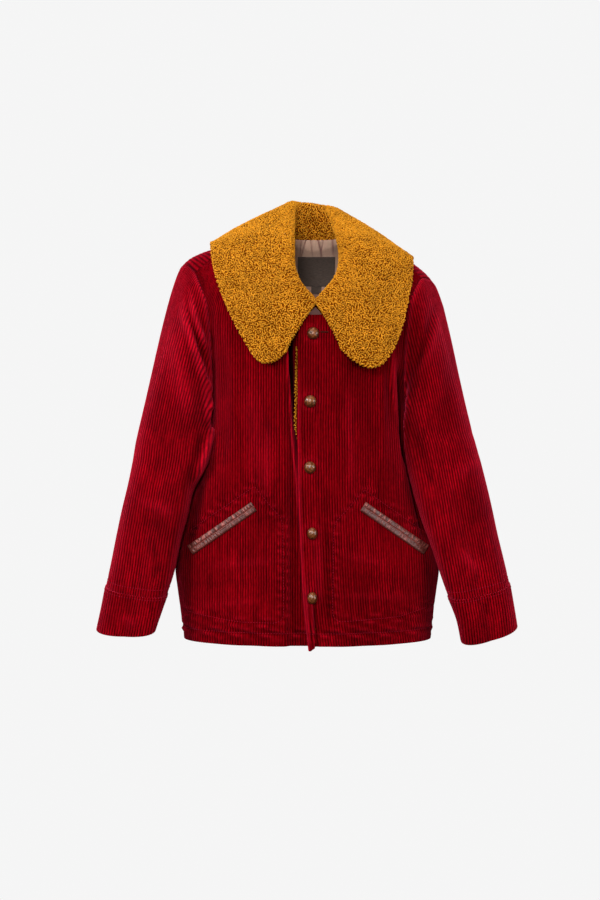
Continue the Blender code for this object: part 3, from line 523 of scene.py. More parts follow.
def wale_sheet(name, grid, along, lift, materials, sewn, closed=False, flip=False):
    """A corduroy sheet whose wales lie at even distances along its rows and end at its edges.

    The creases die away towards the side edges and the edge that the rows' sewn distances start from.
    """
    lengths = row_lengths(grid)
    x, z = grid[..., 0], grid[..., 2]
    wander = np.sin(z * 210 + 3 * np.sin(x * 83)) + np.sin(z * 480 + x * 90)
    along = np.maximum.accumulate(along + WALE_WANDER * wander, axis=1)
    wales = np.arange(math.floor(along.min() / WALE_PITCH) - 1, math.ceil(along.max() / WALE_PITCH) + 1)
    places = (wales[:, None] + np.array(WALE_STEPS)).ravel() * WALE_PITCH
    rises = np.tile(WALE_RISES, len(wales))
    points, ribs, tops, ids, free = [], [], [], [], []
    count = 0
    for row, line in enumerate(grid):
        total = lengths[row, -1]
        within = (places > along[row, 0] + EDGE_MARGIN) & (places < along[row, -1] - EDGE_MARGIN)
        inside = np.nonzero(within)[0]
        at = np.concatenate([[0.0], np.interp(places[inside], along[row], lengths[row]), [total]])
        edge = np.minimum(at, total - at)
        top = np.concatenate([[0.0], rises[inside], [0.0]]) * np.clip(edge / EDGE_RISE, 0.0, 1.0)
        dip = 0.0 if closed else SEAM_DIP
        loose = np.full(len(at), fade(0.0, SEWN_FADE, sewn[row]))
        numbers = np.full(len(places) + 2, count)
        numbers[inside + 1] = count + 1 + np.arange(len(inside))
        numbers[inside[-1] + 2:] = count if closed else count + len(inside) + 1
        last = -1 if closed else None
        points.append(np.stack([np.interp(at, lengths[row], line[:, i]) for i in range(3)], axis=-1)[:last])
        ribs.append((top * WALE_HEIGHT - dip * np.clip(1 - edge / SEAM_DIP_HALF, 0.0, 1.0))[:last])
        tops.append(top[:last])
        free.append((loose if closed else loose * fade(0.0, EDGE_FADE, edge))[:last])
        ids.append(numbers)
        count += len(points[-1])
    ids = np.array(ids)
    faces = quad_faces(ids)
    valleys = np.concatenate([[0], np.arange(1, len(places) + 1, len(WALE_STEPS)), [len(places) + 1]])
    inside, rims, behind = inner_faces(ids, valleys, closed)
    if flip:
        faces, inside, rims = ([face[::-1] for face in part] for part in (faces, inside, rims))
    points, ribs, tops, free = (np.concatenate(part) for part in (points, ribs, tops, free))
    normals = sheet_normals(points, faces)
    raised = lift(points, normals)
    base = points + normals * (raised * free)[:, None]
    both = np.concatenate([base + normals * ribs[:, None], base[behind] - normals[behind] * WALL])
    slots = [0] * (len(faces) + len(rims)) + [1] * len(inside)
    # Painted shade and highlight: the crease height, darker in troughs and grooves, pinker on ridges.
    brush = np.clip(raised / CREASE_SHADING_FULL, -1.7, 1.0)
    return mesh_object(
        name, both, faces + rims + inside, materials, slots,
        wale=np.concatenate([tops, tops[behind]]), brush=np.concatenate([brush, brush[behind]]),
    )


def add_node(tree, kind, **inputs):
    """A shader node with plain socket values."""
    node = tree.nodes.new(kind)
    for key, value in inputs.items():
        node.inputs[key].default_value = value
    return node


def new_material(name, **sockets):
    """A material with plain socket values, its node tree and its shader."""
    material = bpy.data.materials.new(name)
    material.use_nodes = True
    tree = material.node_tree
    shader = tree.nodes["Principled BSDF"]
    for key, value in sockets.items():
        shader.inputs[key.replace("_", " ")].default_value = value
    return material, tree, shader


def noise_at(tree, scale, detail=3.0, stretch=(1, 1, 1)):
    """Noise over the coat's own metres, drawn out along an axis."""
    place = tree.nodes.new("ShaderNodeTexCoord")
    mapping = add_node(tree, "ShaderNodeMapping", Scale=stretch)
    noise = add_node(tree, "ShaderNodeTexNoise", Scale=scale, Detail=detail)
    tree.links.new(place.outputs["Object"], mapping.inputs["Vector"])
    tree.links.new(mapping.outputs["Vector"], noise.inputs["Vector"])
    return noise.outputs["Fac"]


def remap(tree, value, low, high):
    """A noise value spread from low to high."""
    spread = {"From Min": 0.25, "From Max": 0.75, "To Min": low, "To Max": high}
    node = add_node(tree, "ShaderNodeMapRange", **spread)
    tree.links.new(value, node.inputs["Value"])
    return node.outputs["Result"]


def multiply(tree, one, two):
    """Product of two shader values."""
    node = tree.nodes.new("ShaderNodeMath")
    node.operation = "MULTIPLY"
    tree.links.new(one, node.inputs[0])
    tree.links.new(two, node.inputs[1])
    return node.outputs["Value"]


def colour_ramp(tree, value, stops):
    """Colours spread along a shader value."""
    ramp = tree.nodes.new("ShaderNodeValToRGB")
    while len(ramp.color_ramp.elements) < len(stops):
        ramp.color_ramp.elements.new(0.5)
    for element, (place, colour) in zip(ramp.color_ramp.elements, stops):
        element.position = place
        element.color = colour
    tree.links.new(value, ramp.inputs["Fac"])
    return ramp.outputs["Color"]


def scale_colour(tree, colour, value):
    """A plain or varied colour made lighter or darker by a value."""
    node = tree.nodes.new("ShaderNodeVectorMath")
    node.operation = "SCALE"
    if isinstance(colour, tuple):
        node.inputs[0].default_value = colour[:3]
    else:
        tree.links.new(colour, node.inputs[0])
    tree.links.new(value, node.inputs["Scale"])
    return node.outputs["Vector"]


def bump(tree, shader, value, strength, distance):
    """Fine grain of a surface."""
    node = add_node(tree, "ShaderNodeBump", Strength=strength, Distance=distance)
    tree.links.new(value, node.inputs["Height"])
    tree.links.new(node.outputs["Normal"], shader.inputs["Normal"])


def attribute(tree, name):
    """A named point value of the mesh."""
    node = tree.nodes.new("ShaderNodeAttribute")
    node.attribute_name = name
    return node.outputs["Fac"]


def corduroy_material(name, nap, depth, flat):
    """Velvet ribs: dark grooves as painted shade, lighter crests, patches of flattened nap; crease troughs
    painted darker as painted shade and crease ridges painted pink as painted highlight.
    """
    material, tree, shader = new_material(
        name, Roughness=0.90, Specular_IOR_Level=0.0,
        Sheen_Weight=nap, Sheen_Roughness=0.45, Sheen_Tint=NAP_TINT,
    )
    flattened = remap(tree, noise_at(tree, 38.0, 4.0, (1.0, 1.0, 0.6)), flat - 0.9, flat + 0.4)
    flattened.node.clamp = True
    blend = tree.nodes.new("ShaderNodeMix")
    blend.inputs["B"].default_value = 0.80
    tree.links.new(flattened, blend.inputs["Factor"])
    tree.links.new(attribute(tree, "wale"), blend.inputs["A"])
    # Painted shade: each wale's groove is painted near black and its crest lighter.
    ribs = colour_ramp(tree, blend.outputs["Result"], list(zip((0.0, 0.6, 1.0), CORDUROY_RED_GROOVE_SHADED)))
    # depth scales the whole tone of a piece; above 1 it is painted light.
    beads = remap(tree, noise_at(tree, 260.0, 2.0, (1.0, 1.0, 0.6)), 0.72 * depth, 1.28 * depth)
    streaks = remap(tree, noise_at(tree, 60.0, 3.0, (4.0, 4.0, 0.35)), 0.62, 1.38)
    clouds = remap(tree, noise_at(tree, 13.0, 4.0, (1.0, 1.0, 0.7)), 0.68, 1.32)
    tones = multiply(tree, beads, multiply(tree, streaks, clouds))
    # Painted shade in crease troughs and grooves, painted pink highlight on crease ridges.
    brushed = add_node(tree, "ShaderNodeMapRange", **{"From Min": -1.7, "To Min": 0.03, "To Max": 1.65})
    tree.links.new(attribute(tree, "brush"), brushed.inputs["Value"])
    colour = scale_colour(tree, ribs, multiply(tree, tones, brushed.outputs["Result"]))
    pink = tree.nodes.new("ShaderNodeVectorMath")
    pink.operation = "MULTIPLY_ADD"
    pink.inputs[1].default_value = CREASE_HIGHLIGHT_PINK
    raised = add_node(tree, "ShaderNodeMapRange")
    tree.links.new(attribute(tree, "brush"), raised.inputs["Value"])
    tree.links.new(raised.outputs["Result"], pink.inputs[0])
    tree.links.new(colour, pink.inputs[2])
    tree.links.new(pink.outputs["Vector"], shader.inputs["Base Color"])
    bump(tree, shader, noise_at(tree, 1600.0, 2.0), 0.5, 0.0004)
    return material


def lining_material(name):
    """Smooth taupe twill, painted darker and redder in its creases and lower down inside the coat as painted
    shade.
    """
    material, tree, shader = new_material(name, Roughness=0.45, Specular_IOR_Level=0.4, Sheen_Weight=0.2)
    clouds = remap(tree, noise_at(tree, 30.0, 3.0), 0.88, 1.12)
    twill = remap(tree, noise_at(tree, 400.0, 2.0, (1.0, 1.0, 0.2)), 0.92, 1.08)
    # Painted shade: the pucker value darkens the lining in its creases and lower down.
    folded = colour_ramp(tree, attribute(tree, "pucker"), ((0.0, LINING_TAUPE_LIGHTENED), (1.0, LINING_FOLD_SHADE)))
    colour = scale_colour(tree, folded, multiply(tree, clouds, twill))
    tree.links.new(colour, shader.inputs["Base Color"])
    bump(tree, shader, noise_at(tree, 900.0, 2.0), 0.15, 0.0003)
    return material


def in_place(piece, node):
    """The piece takes the place of its solid and rides with the coat."""
    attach(piece, "root")
    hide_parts(node)


lining_inside = lining_material("body_lining")
front_corduroy = corduroy_material("front_corduroy", 0.36, 1.0, 0.55)
back_corduroy = corduroy_material("back_corduroy", 0.40, 1.0, 0.35)

# Sewn lines of the pocket bags and hem on each front, from the opening to the side
Spot = namedtuple("Spot", "x z")
POCKET_BAG_RIGHT = (
    Spot(-0.184, -0.4672), Spot(-0.0822, -0.3976), Spot(-0.0557, -0.4298), Spot(-0.0425, -0.4440),
    Spot(-0.0390, -0.4560), Spot(-0.0375, -0.5900), Spot(-0.0405, -0.6000), Spot(-0.0500, -0.6052),
    Spot(-0.1050, -0.6052), Spot(-0.1900, -0.5940),
)
POCKET_BAG_LEFT = (
    Spot(0.184, -0.4722), Spot(0.0853, -0.4031), Spot(0.0570, -0.4350), Spot(0.0420, -0.4500),
    Spot(0.0385, -0.4620), Spot(0.0365, -0.5880), Spot(0.0390, -0.5980), Spot(0.0480, -0.6030),
    Spot(0.1400, -0.5984), Spot(0.1880, -0.5870),
)
HEM_STITCH = 0.0195
# The armhole dip also paints the body darker beside the sleeve as painted shade.
ARMHOLE_DIP = 0.0030
ARMHOLE_DIP_HALF = 0.0085
GROOVE_DEPTH = 0.0013
GROOVE_HALF = 0.0020
GROOVE_LIP = 0.0005
GROOVE_LIP_AWAY = 0.005
GROOVE_LIP_HALF = 0.002
PULL_LENGTH = 0.0135
PULL_HEIGHT = 0.0018
PULL_AWAY = 0.004
PULL_HALF = 0.006
BACK_GROOVE = 0.0009
BACK_GROOVE_HALF = 0.0016

# Places of the buttons, with the soft ring of cloth that each one pulls up round itself
Button = namedtuple("Button", "x height spin lean wide")
BUTTONS = (
    Button(0.0070, -0.166, 40, 0, 1.00),
    Button(0.0028, -0.269, 4, 0, 0.98),
    Button(0.0022, -0.369, 50, 0, 0.95),
    Button(0.0060, -0.469, 30, 8, 0.82),
    Button(0.0060, -0.567, 45, 10, 0.80),
)
# The raised ring also paints a pinker halo round each button as painted highlight.
BUTTON_RING = 0.0010
BUTTON_RING_AWAY = 0.0125
BUTTON_RING_HALF = 0.0045
BUTTON_DIP = 0.0012
BUTTON_DIP_HALF = 0.007


def sewn_path(spots):
    """A sewn line as an array of x and z."""
    return np.array([[spot.x, spot.z] for spot in spots])


def armhole_path(front):
    """Front edge of an armhole as seen from the front."""
    return front[front_levels > UNDERARM][::4, -1][:, [0, 2]]


def front_lift(side, front):
    """Creases of a front and the small grooves that its sewn lines pull in."""
    bag = sewn_path(POCKET_BAG_LEFT if side > 0 else POCKET_BAG_RIGHT)
    armhole = armhole_path(front)
    creases = FRONT_CREASES + (OVER_CREASES if side > 0 else UNDER_CREASES)

    def lift(points, normals):
        height = crease_height(creases, points, -normals[:, 1])
        seen = points[:, [0, 2]]
        height -= ARMHOLE_DIP * bell(path_distance(armhole, seen), ARMHOLE_DIP_HALF)
        nearest = np.minimum(path_distance(bag, seen), np.abs(points[:, 2] - HEM - HEM_STITCH))
        height -= GROOVE_DEPTH * bell(nearest, GROOVE_HALF)
        height += GROOVE_LIP * bell(nearest - GROOVE_LIP_AWAY, GROOVE_LIP_HALF)
        pulled = np.sin((points[:, 2] + 0.3 * points[:, 0]) * 2 * math.pi / PULL_LENGTH)
        height += PULL_HEIGHT * pulled * bell(nearest - PULL_AWAY, PULL_HALF)
        if side > 0:
            for spot in BUTTONS:
                apart = np.hypot(seen[:, 0] - spot.x, seen[:, 1] - spot.height)
                height += BUTTON_RING * bell(apart - BUTTON_RING_AWAY, BUTTON_RING_HALF)
                height -= BUTTON_DIP * bell(apart, BUTTON_DIP_HALF)
        return height

    return lift


def back_lift(points, normals):
    """Creases of the back and the groove of its hem."""
    groove = bell(points[:, 2] - HEM - HEM_STITCH, BACK_GROOVE_HALF)
    return crease_height(BACK_CREASES, points, normals[:, 1]) - BACK_GROOVE * groove


row_count = round((ROUND_START - HEM) / FRONT_ROW * FRONT_TOP)
hem_levels = (HEM_STITCH + np.array([-0.0025, 0.0, 0.0025])) / (ROUND_START - HEM)
front_levels = np.concatenate([np.linspace(0, FRONT_TOP - 0.010, row_count), hem_levels, [FRONT_TOP]])
front_levels = np.sort(front_levels)
back_count = round((ROUND_START - HEM) / BACK_ROW * 2.0)
back_levels = np.concatenate([
    np.linspace(0, UNDERARM, round(back_count * 0.38)),
    np.linspace(UNDERARM, 2.0, round(back_count * 0.50))[1:],
    np.linspace(2.0, BACK_TOP - 0.010, 12)[1:],
    [BACK_TOP],
])
front_left_grid = front_grid(1, front_levels)
front_right_grid = front_grid(-1, front_levels)
back_points = back_grid(back_levels)
front_sewn = (FRONT_TOP - front_levels) * (ROUND_START - HEM)
corduroy_front = [front_corduroy, lining_inside]
front_left = wale_sheet(
    "front_left_cloth", front_left_grid, level_lengths(front_left_grid), front_lift(1, front_left_grid),
    corduroy_front, front_sewn,
)
front_right = wale_sheet(
    "front_right_cloth", front_right_grid, level_lengths(front_right_grid), front_lift(-1, front_right_grid),
    corduroy_front, front_sewn, flip=True,
)
across_back = level_lengths(back_points)
middles = [np.interp(0.0, row[:, 0], length) for row, length in zip(back_points, across_back)]
across_back = across_back - np.array(middles)[:, None]
over_ridge = np.linalg.norm(back_points - back_points[np.abs(back_levels - 2.0).argmin()], axis=2)
over_ridge = over_ridge * (back_levels > 2.0)[:, None]
spread = 1 - (1 - SHOULDER_SPREAD) * fade(1.75, 2.0, back_levels)[:, None]
across_back = across_back * spread + np.sign(across_back) * SHOULDER_LEAN * over_ridge
back = wale_sheet(
    "back_cloth", back_points, across_back, back_lift, [back_corduroy, lining_inside],
    (BACK_TOP - back_levels) * (ROUND_START - HEM), flip=True,
)
in_place(front_left, "front_left")
in_place(front_right, "front_right")
in_place(back, "back")

# Sleeves in the same corduroy, set into the armholes, wales running down the arm; each ends in a
# plain turned band, the cuff, sewn on with a row of stitches on either side of the seam.
Sleeve = namedtuple("Sleeve", "height outer inner forward half_depth tilt")
SLEEVE_RIGHT = (
    Sleeve(-0.312, 0.2685, 0.1440, 0.014, 0.064, 0.000),
    Sleeve(-0.330, 0.2720, 0.1460, 0.018, 0.064, 0.000),
    Sleeve(-0.360, 0.2765, 0.1530, 0.021, 0.062, 0.001),
    Sleeve(-0.400, 0.2840, 0.1780, 0.025, 0.059, 0.002),
    Sleeve(-0.440, 0.2930, 0.1880, 0.029, 0.056, 0.003),
    Sleeve(-0.480, 0.3010, 0.1990, 0.032, 0.054, 0.004),
    Sleeve(-0.528, 0.3100, 0.2095, 0.036, 0.051, 0.005),
    Sleeve(-0.560, 0.3165, 0.2200, 0.038, 0.049, 0.006),
    Sleeve(-0.600, 0.3245, 0.2330, 0.041, 0.047, 0.004),
    Sleeve(-0.622, 0.3300, 0.2390, 0.043, 0.045, 0.000),
)
SLEEVE_LEFT = (
    Sleeve(-0.316, 0.2590, 0.1390, 0.014, 0.064, 0.000),
    Sleeve(-0.330, 0.2630, 0.1430, 0.018, 0.064, 0.001),
    Sleeve(-0.360, 0.2710, 0.1520, 0.021, 0.062, 0.003),
    Sleeve(-0.400, 0.2805, 0.1640, 0.025, 0.059, 0.005),
    Sleeve(-0.440, 0.2890, 0.1760, 0.029, 0.056, 0.007),
    Sleeve(-0.480, 0.2970, 0.1910, 0.032, 0.054, 0.008),
    Sleeve(-0.528, 0.3080, 0.2070, 0.036, 0.051, 0.009),
    Sleeve(-0.560, 0.3150, 0.2185, 0.038, 0.049, 0.010),
    Sleeve(-0.600, 0.3220, 0.2330, 0.041, 0.047, 0.009),
    Sleeve(-0.628, 0.3260, 0.2390, 0.043, 0.045, 0.011),
)
SLEEVE_CLEAR = 0.0045
INNER_FORWARD = 0.030
CUFF_SEAM = -0.560
CUFF_STEP = 0.0014
CUFF_GAP = 0.0010
ARM_DROOP = 0.008
SLEEVE_SQUARENESS = 2.2
SEAM_ALLOWANCE = 0.008
HEAD_EASE = 0.28
# The raised rim also paints the sleeve pinker by the seam as painted highlight.
ARMHOLE_RIM = 0.0042
ARMHOLE_RIM_AWAY = 0.0015
ARMHOLE_RIM_HALF = 0.0035
ALLOWANCE_AIM = 0.090
ALLOWANCE_HEIGHTS = (-0.25, -0.12)
CAP_GAP = (0.0006, 0.0005)
CUFF_GROOVE = 0.0006
CUFF_GROOVE_HALF = 0.0018
CUFF_TUCK = (0.006, -0.0035)
ArmFold = namedtuple("ArmFold", "top_turn low_turn top_way low_way half_turn height")
SLEEVE_RIGHT_FOLDS = (
    ArmFold(0.16, 0.36, 0.16, 0.52, 0.050, 0.0050),
    ArmFold(0.38, 0.40, 0.40, 0.58, 0.045, 0.0060),
    ArmFold(0.70, 0.58, 0.42, 0.66, 0.060, 0.0060),
)
SLEEVE_LEFT_FOLDS = (
    ArmFold(0.18, 0.32, 0.14, 0.48, 0.050, 0.0040),
    ArmFold(0.72, 0.58, 0.44, 0.68, 0.060, 0.0060),
)
SLEEVE_RIGHT_CREASES = (
    Crease(-0.197, -0.120, -0.161, -0.240, 0.0055, 0.0054),
    Crease(-0.161, -0.235, -0.158, -0.300, 0.0055, 0.0044),
    Crease(-0.184, -0.112, -0.160, -0.182, 0.0040, 0.0044),
    Crease(-0.190, -0.125, -0.164, -0.205, 0.0040, -0.0034),
    Crease(-0.1965, -0.100, -0.1570, -0.250, 0.0020, 0.0034),
    Crease(-0.1580, -0.225, -0.1565, -0.310, 0.0020, 0.0030),
    Crease(-0.1840, -0.095, -0.1580, -0.195, 0.0018, 0.0030),
    Crease(-0.215, -0.160, -0.185, -0.290, 0.0120, 0.0020),
    Crease(-0.174, -0.390, -0.140, -0.285, 0.0050, 0.0050),
    Crease(-0.186, -0.400, -0.160, -0.310, 0.0080, -0.0035),
    Crease(-0.250, -0.300, -0.205, -0.345, 0.0100, -0.0016),
    Crease(-0.262, -0.420, -0.205, -0.440, 0.0080, 0.0016),
    Crease(-0.270, -0.450, -0.220, -0.462, 0.0080, -0.0016),
    Crease(-0.245, -0.545, -0.226, -0.520, 0.0060, -0.0028),
)
CUFF_CREASES = (
    Crease(-0.252, -0.574, -0.235, -0.592, 0.0040, -0.0022),
    Crease(-0.290, -0.600, -0.262, -0.612, 0.0060, 0.0014),
    Crease(0.268, -0.585, 0.292, -0.600, 0.0060, -0.0016),
)
SLEEVE_LEFT_CREASES = (
    Crease(0.215, -0.110, 0.176, -0.220, 0.0060, 0.0018),
    Crease(0.196, -0.120, 0.166, -0.220, 0.0060, -0.0030),
    Crease(0.225, -0.200, 0.205, -0.330, 0.0120, -0.0022),
    Crease(0.246, -0.180, 0.262, -0.330, 0.0080, 0.0030),
    Crease(0.195, -0.400, 0.160, -0.300, 0.0080, -0.0030),
    Crease(0.270, -0.360, 0.230, -0.380, 0.0090, 0.0018),
    Crease(0.285, -0.440, 0.240, -0.455, 0.0080, -0.0018),
    Crease(0.262, -0.530, 0.235, -0.500, 0.0070, 0.0028),
)
CAP_ROWS = 40
ARM_ROWS = 44
SLEEVE_ROW = 0.0058
CAP_SLANT = 0.22
CAP_BEYOND = 0.05
CAP_BLEND = (0.005, 0.045)
CUFF_ROWS = 14
ARM_SAMPLES = 361
CUFF_STITCH_ABOVE = 0.0100
CUFF_STITCH_BELOW = 0.0050


def body_x(side, y, z):
    """Distance out of the body's side at a depth and height below the armhole."""
    rise = (z - HEM) / (ROUND_START - HEM)
    front = smooth(BODY_SECTIONS, "rise", "front_depth", rise)
    back_part = smooth(BODY_SECTIONS, "rise", "back_depth", rise)
    part = np.clip(np.abs(y - RIDGE_Y) / np.where(y < RIDGE_Y, front, back_part), 0.0, 1.0)
    return half_width(side, rise) * (1 - part ** SQUARENESS) ** (1 / SQUARENESS)


def clear_body(side, points):
    """Sleeve points moved out to clear the side of the body."""
    x, y, z = np.moveaxis(points, -1, 0)
    clear = body_x(side, y, z) + SLEEVE_CLEAR
    return np.stack([side * np.maximum(side * x, clear), y, z], axis=-1)


def arm_ring(side, rows, height, turns, step=0.0):
    """One ring of a sleeve or cuff, from the table of its sections."""
    ordered = rows[::-1]
    outer = smooth(ordered, "height", "outer", height) + step
    inner = smooth(ordered, "height", "inner", height) - step
    depth = smooth(ordered, "height", "half_depth", height) + step
    forward = smooth(ordered, "height", "forward", height)
    tilt = smooth(ordered, "height", "tilt", height)
    angle = np.asarray(turns) * 2 * math.pi
    power = 2 / SLEEVE_SQUARENESS
    cosine = np.sign(np.cos(angle)) * np.abs(np.cos(angle)) ** power
    sine = np.sign(np.sin(angle)) * np.abs(np.sin(angle)) ** power
    x = side * ((outer + inner) / 2 + (outer - inner) / 2 * cosine)
    lean = INNER_FORWARD * fade(rows[0].height + 0.02, rows[0].height - 0.09, height)
    y = -forward - depth * sine - lean * np.maximum(-cosine, 0.0)
    z = height + tilt * cosine - ARM_DROOP * sine * fade(CUFF_SEAM + 0.15, CUFF_SEAM - 0.07, height)
    return clear_body(side, np.stack([x, y, z], axis=-1))


def line_lengths(line):
    """Distance along a line of points from its first one."""
    return np.concatenate([[0.0], np.cumsum(np.linalg.norm(np.diff(line, axis=0), axis=1))])


def unit(ways):
    """Directions scaled to a length of 1."""
    return ways / np.linalg.norm(ways, axis=-1, keepdims=True)


def armhole_loop(side, front, behind):
    """Points round an armhole and their turns, 0 on the shoulder and half a turn at the underarm."""
    front_edge = front[:, -1]
    back_edge = behind[:, -1] if side > 0 else behind[:, 0]
    over = back_edge[back_levels > 1.999][:-1]
    down = front_edge[front_levels > UNDERARM][::-1]
    under = torso(side * side_x(side, UNDERARM, FRONT_ARMHOLE), UNDERARM, -1)[None]
    up = back_edge[(back_levels > UNDERARM + 1e-6) & (back_levels < 1.999)]
    loop = np.concatenate([over, down, under, up, over[:1]])
    length = line_lengths(loop)
    lowest = len(over) + len(down)
    first = 0.5 * length / length[lowest]
    second = 0.5 + 0.5 * (length - length[lowest]) / (length[-1] - length[lowest])
    return loop, np.where(length <= length[lowest], first, second)


def sleeve_grid(side, rows, folds, front):
    """Rings of a sleeve: a cap that leaves the armhole, then the arm down to the cuff seam."""
    loop, loop_turns = armhole_loop(side, front, back_points)
    turns = np.linspace(-0.5, 0.5, ARM_SAMPLES)
    edge = np.stack([np.interp(turns % 1.0, loop_turns, loop[:, i]) for i in range(3)], axis=-1)
    top = 0.5 + 0.5 * np.cos(turns * 2 * math.pi)[:, None]
    start = edge + np.array([side * CAP_GAP[0], 0.0, 0.0]) - np.array([0.0, 0.0, CAP_GAP[1]]) * top
    end = arm_ring(side, rows, rows[0].height, turns)
    reach = np.linalg.norm(end - start, axis=1, keepdims=True)
    leave = np.array([[side * 0.5, 0.0, 0.0]]) * (1 - 0.55 * top) - np.array([[0.0, 0.0, 0.4]]) * top
    leave = leave - np.array([[0.0, HEAD_EASE, 0.0]]) * np.sin(turns * 2 * math.pi)[:, None]
    arrive = np.array([[side * 0.24, 0.0, -1.0]])
    aim = np.zeros(start.shape)
    aim[:, 0] = side * ALLOWANCE_AIM
    aim[:, 1] = RIDGE_Y
    aim[:, 2] = np.clip(start[:, 2], *ALLOWANCE_HEIGHTS)
    allowance = start + unit(aim - start) * SEAM_ALLOWANCE
    grid = []
    for t in np.linspace(0, 1, CAP_ROWS + 1):
        point = start * (1 + 2 * t) * (1 - t) ** 2 + end * t * t * (3 - 2 * t)
        grid.append(point + reach * (leave * t * (1 - t) ** 2 + arrive * t * t * (t - 1)))
    for height in np.linspace(rows[0].height, CUFF_SEAM, ARM_ROWS + 1)[1:]:
        grid.append(arm_ring(side, rows, height, turns))
    grid = np.array(grid)
    cap_way = (1 + 6 * np.linspace(0, 1, CAP_ROWS + 1)) / 16
    arm_way = (7 + 9 * np.linspace(0, 1, ARM_ROWS + 1)[1:]) / 16
    way = np.concatenate([cap_way, arm_way])[:, None]
    height = np.zeros(grid.shape[:2])
    for fold in folds:
        t = (way - fold.top_way) / (fold.low_way - fold.top_way)
        middle = fold.top_turn + (fold.low_turn - fold.top_turn) * t
        apart = (turns[None, :] - middle + 0.5) % 1.0 - 0.5
        ends = fade(-0.1, 0.25, t) * fade(1.1, 0.75, t)
        height = height + fold.height * ends * bell(apart, fold.half_turn)
    normals = grid_normals(grid)
    normals[:, 0] = normals[:, -1] = (normals[:, 0] + normals[:, -1]) / 2
    grid = grid + side * normals * height[..., None]
    grid[-ARM_ROWS:] = clear_body(side, grid[-ARM_ROWS:])
    hidden = arm_ring(side, rows, CUFF_SEAM - CUFF_TUCK[0], turns, CUFF_TUCK[1])
    return np.concatenate([allowance[None], grid, hidden[None]])


def round_arm(grid):
    """Distance round each ring from the outer line of the arm."""
    length = level_lengths(grid)
    return length - length[:, ARM_SAMPLES // 2][:, None]


def cap_along(side, rows, grid, ring):
    """Distance round the arm for the rows of the cap, whose wales run on straight from the ring below."""
    middle = ARM_SAMPLES // 2
    around = np.abs(round_arm(ring[None])[0])
    arc = row_lengths(grid)
    arc = np.abs(arc - arc[:, middle][:, None])

    def inward(points):
        return -side * points[..., 0] - CAP_SLANT * (points[..., 2] - rows[0].height)

    own = np.abs(round_arm(grid))
    ahead = fade(*CAP_BLEND, np.linspace(0.0, 0.5, middle + 1))
    result = np.zeros(grid.shape[:2])
    for half, sign in ((slice(middle, None), 1), (slice(middle, None, -1), -1)):
        keys = np.maximum.accumulate(inward(ring[half]) + np.arange(middle + 1) * 1e-7)
        keys = np.concatenate([keys, keys[-1:] + CAP_BEYOND])
        values = np.concatenate([around[half], around[half][-1:] + CAP_BEYOND])
        straight = np.minimum(arc[:, half], np.interp(inward(grid[:, half]), keys, values))
        result[:, half] = sign * (own[:, half] * (1 - ahead) + straight * ahead)
    return result


def cuff_groove(side, rows, height):
    """The small groove that a row of stitches round the arm pulls in."""
    seam = arm_ring(side, rows, height, np.linspace(0, 1, 73))
    order = np.argsort(side * seam[:, 0])

    def groove(points):
        level = np.interp(side * points[:, 0], side * seam[order, 0], seam[order, 2])
        return CUFF_GROOVE * bell(points[:, 2] - level, CUFF_GROOVE_HALF)

    return groove


def sleeve_lift(side, rows, creases, front):
    """Creases of a sleeve, its raised rim at the armhole and the groove of the stitches at the cuff."""
    armhole = armhole_path(front)
    groove = cuff_groove(side, rows, CUFF_SEAM + CUFF_STITCH_ABOVE)

    def lift(points, normals):
        height = crease_height(creases, points, -normals[:, 1])
        apart = path_distance(armhole, points[:, [0, 2]])
        rim = bell(apart - ARMHOLE_RIM_AWAY, ARMHOLE_RIM_HALF) * np.clip(-2 * normals[:, 1], 0.0, 1.0)
        return height + ARMHOLE_RIM * rim - groove(points)

    return lift


def cuff_lift(side, rows):
    """Groove of the stitches below the cuff seam and small creases across the band."""
    groove = cuff_groove(side, rows, CUFF_SEAM - CUFF_STITCH_BELOW)

    def lift(points, normals):
        return crease_height(CUFF_CREASES, points, -normals[:, 1]) - groove(points)

    return lift


# Sleeves and cuffs are the same corduroy painted lighter (tone 1.12 and 1.05 against 1.0 on the body) as
# painted light.
sleeve_corduroy_painted_lighter = corduroy_material("sleeve_corduroy_painted_lighter", 0.80, 1.12, 0.35)
cuff_corduroy_painted_lighter = corduroy_material("cuff_corduroy_painted_lighter", 0.60, 1.05, 0.45)
sleeve_sides = (
    (1, "left", SLEEVE_LEFT, SLEEVE_LEFT_FOLDS, SLEEVE_LEFT_CREASES, front_left_grid),
    (-1, "right", SLEEVE_RIGHT, SLEEVE_RIGHT_FOLDS, SLEEVE_RIGHT_CREASES, front_right_grid),
)
for side, name, rows, folds, creases, front in sleeve_sides:
    grid = sleeve_grid(side, rows, folds, front)
    joint = CAP_ROWS + 1
    cap = cap_along(side, rows, grid[:joint], grid[joint])
    cap[0] = cap[1]
    sewn = np.clip(np.arange(len(grid)) - 1, 0, None) * SLEEVE_ROW
    sleeve = wale_sheet(
        "sleeve_" + name + "_cloth", grid, np.concatenate([cap, round_arm(grid[joint:])]),
        sleeve_lift(side, rows, creases, front), [sleeve_corduroy_painted_lighter, lining_inside], sewn,
        closed=True, flip=side < 0,
    )
    heights = np.linspace(CUFF_SEAM - CUFF_GAP, rows[-1].height, CUFF_ROWS + 1)
    turns = np.linspace(-0.5, 0.5, ARM_SAMPLES)
    band = np.array([arm_ring(side, rows, height, turns, CUFF_STEP) for height in heights])
    cuff = wale_sheet(
        "cuff_" + name + "_cloth", band, round_arm(band), cuff_lift(side, rows),
        [cuff_corduroy_painted_lighter, lining_inside], CUFF_SEAM - heights, closed=True, flip=side < 0,
    )
    in_place(sleeve, "sleeve_" + name)
    in_place(cuff, "cuff_" + name)

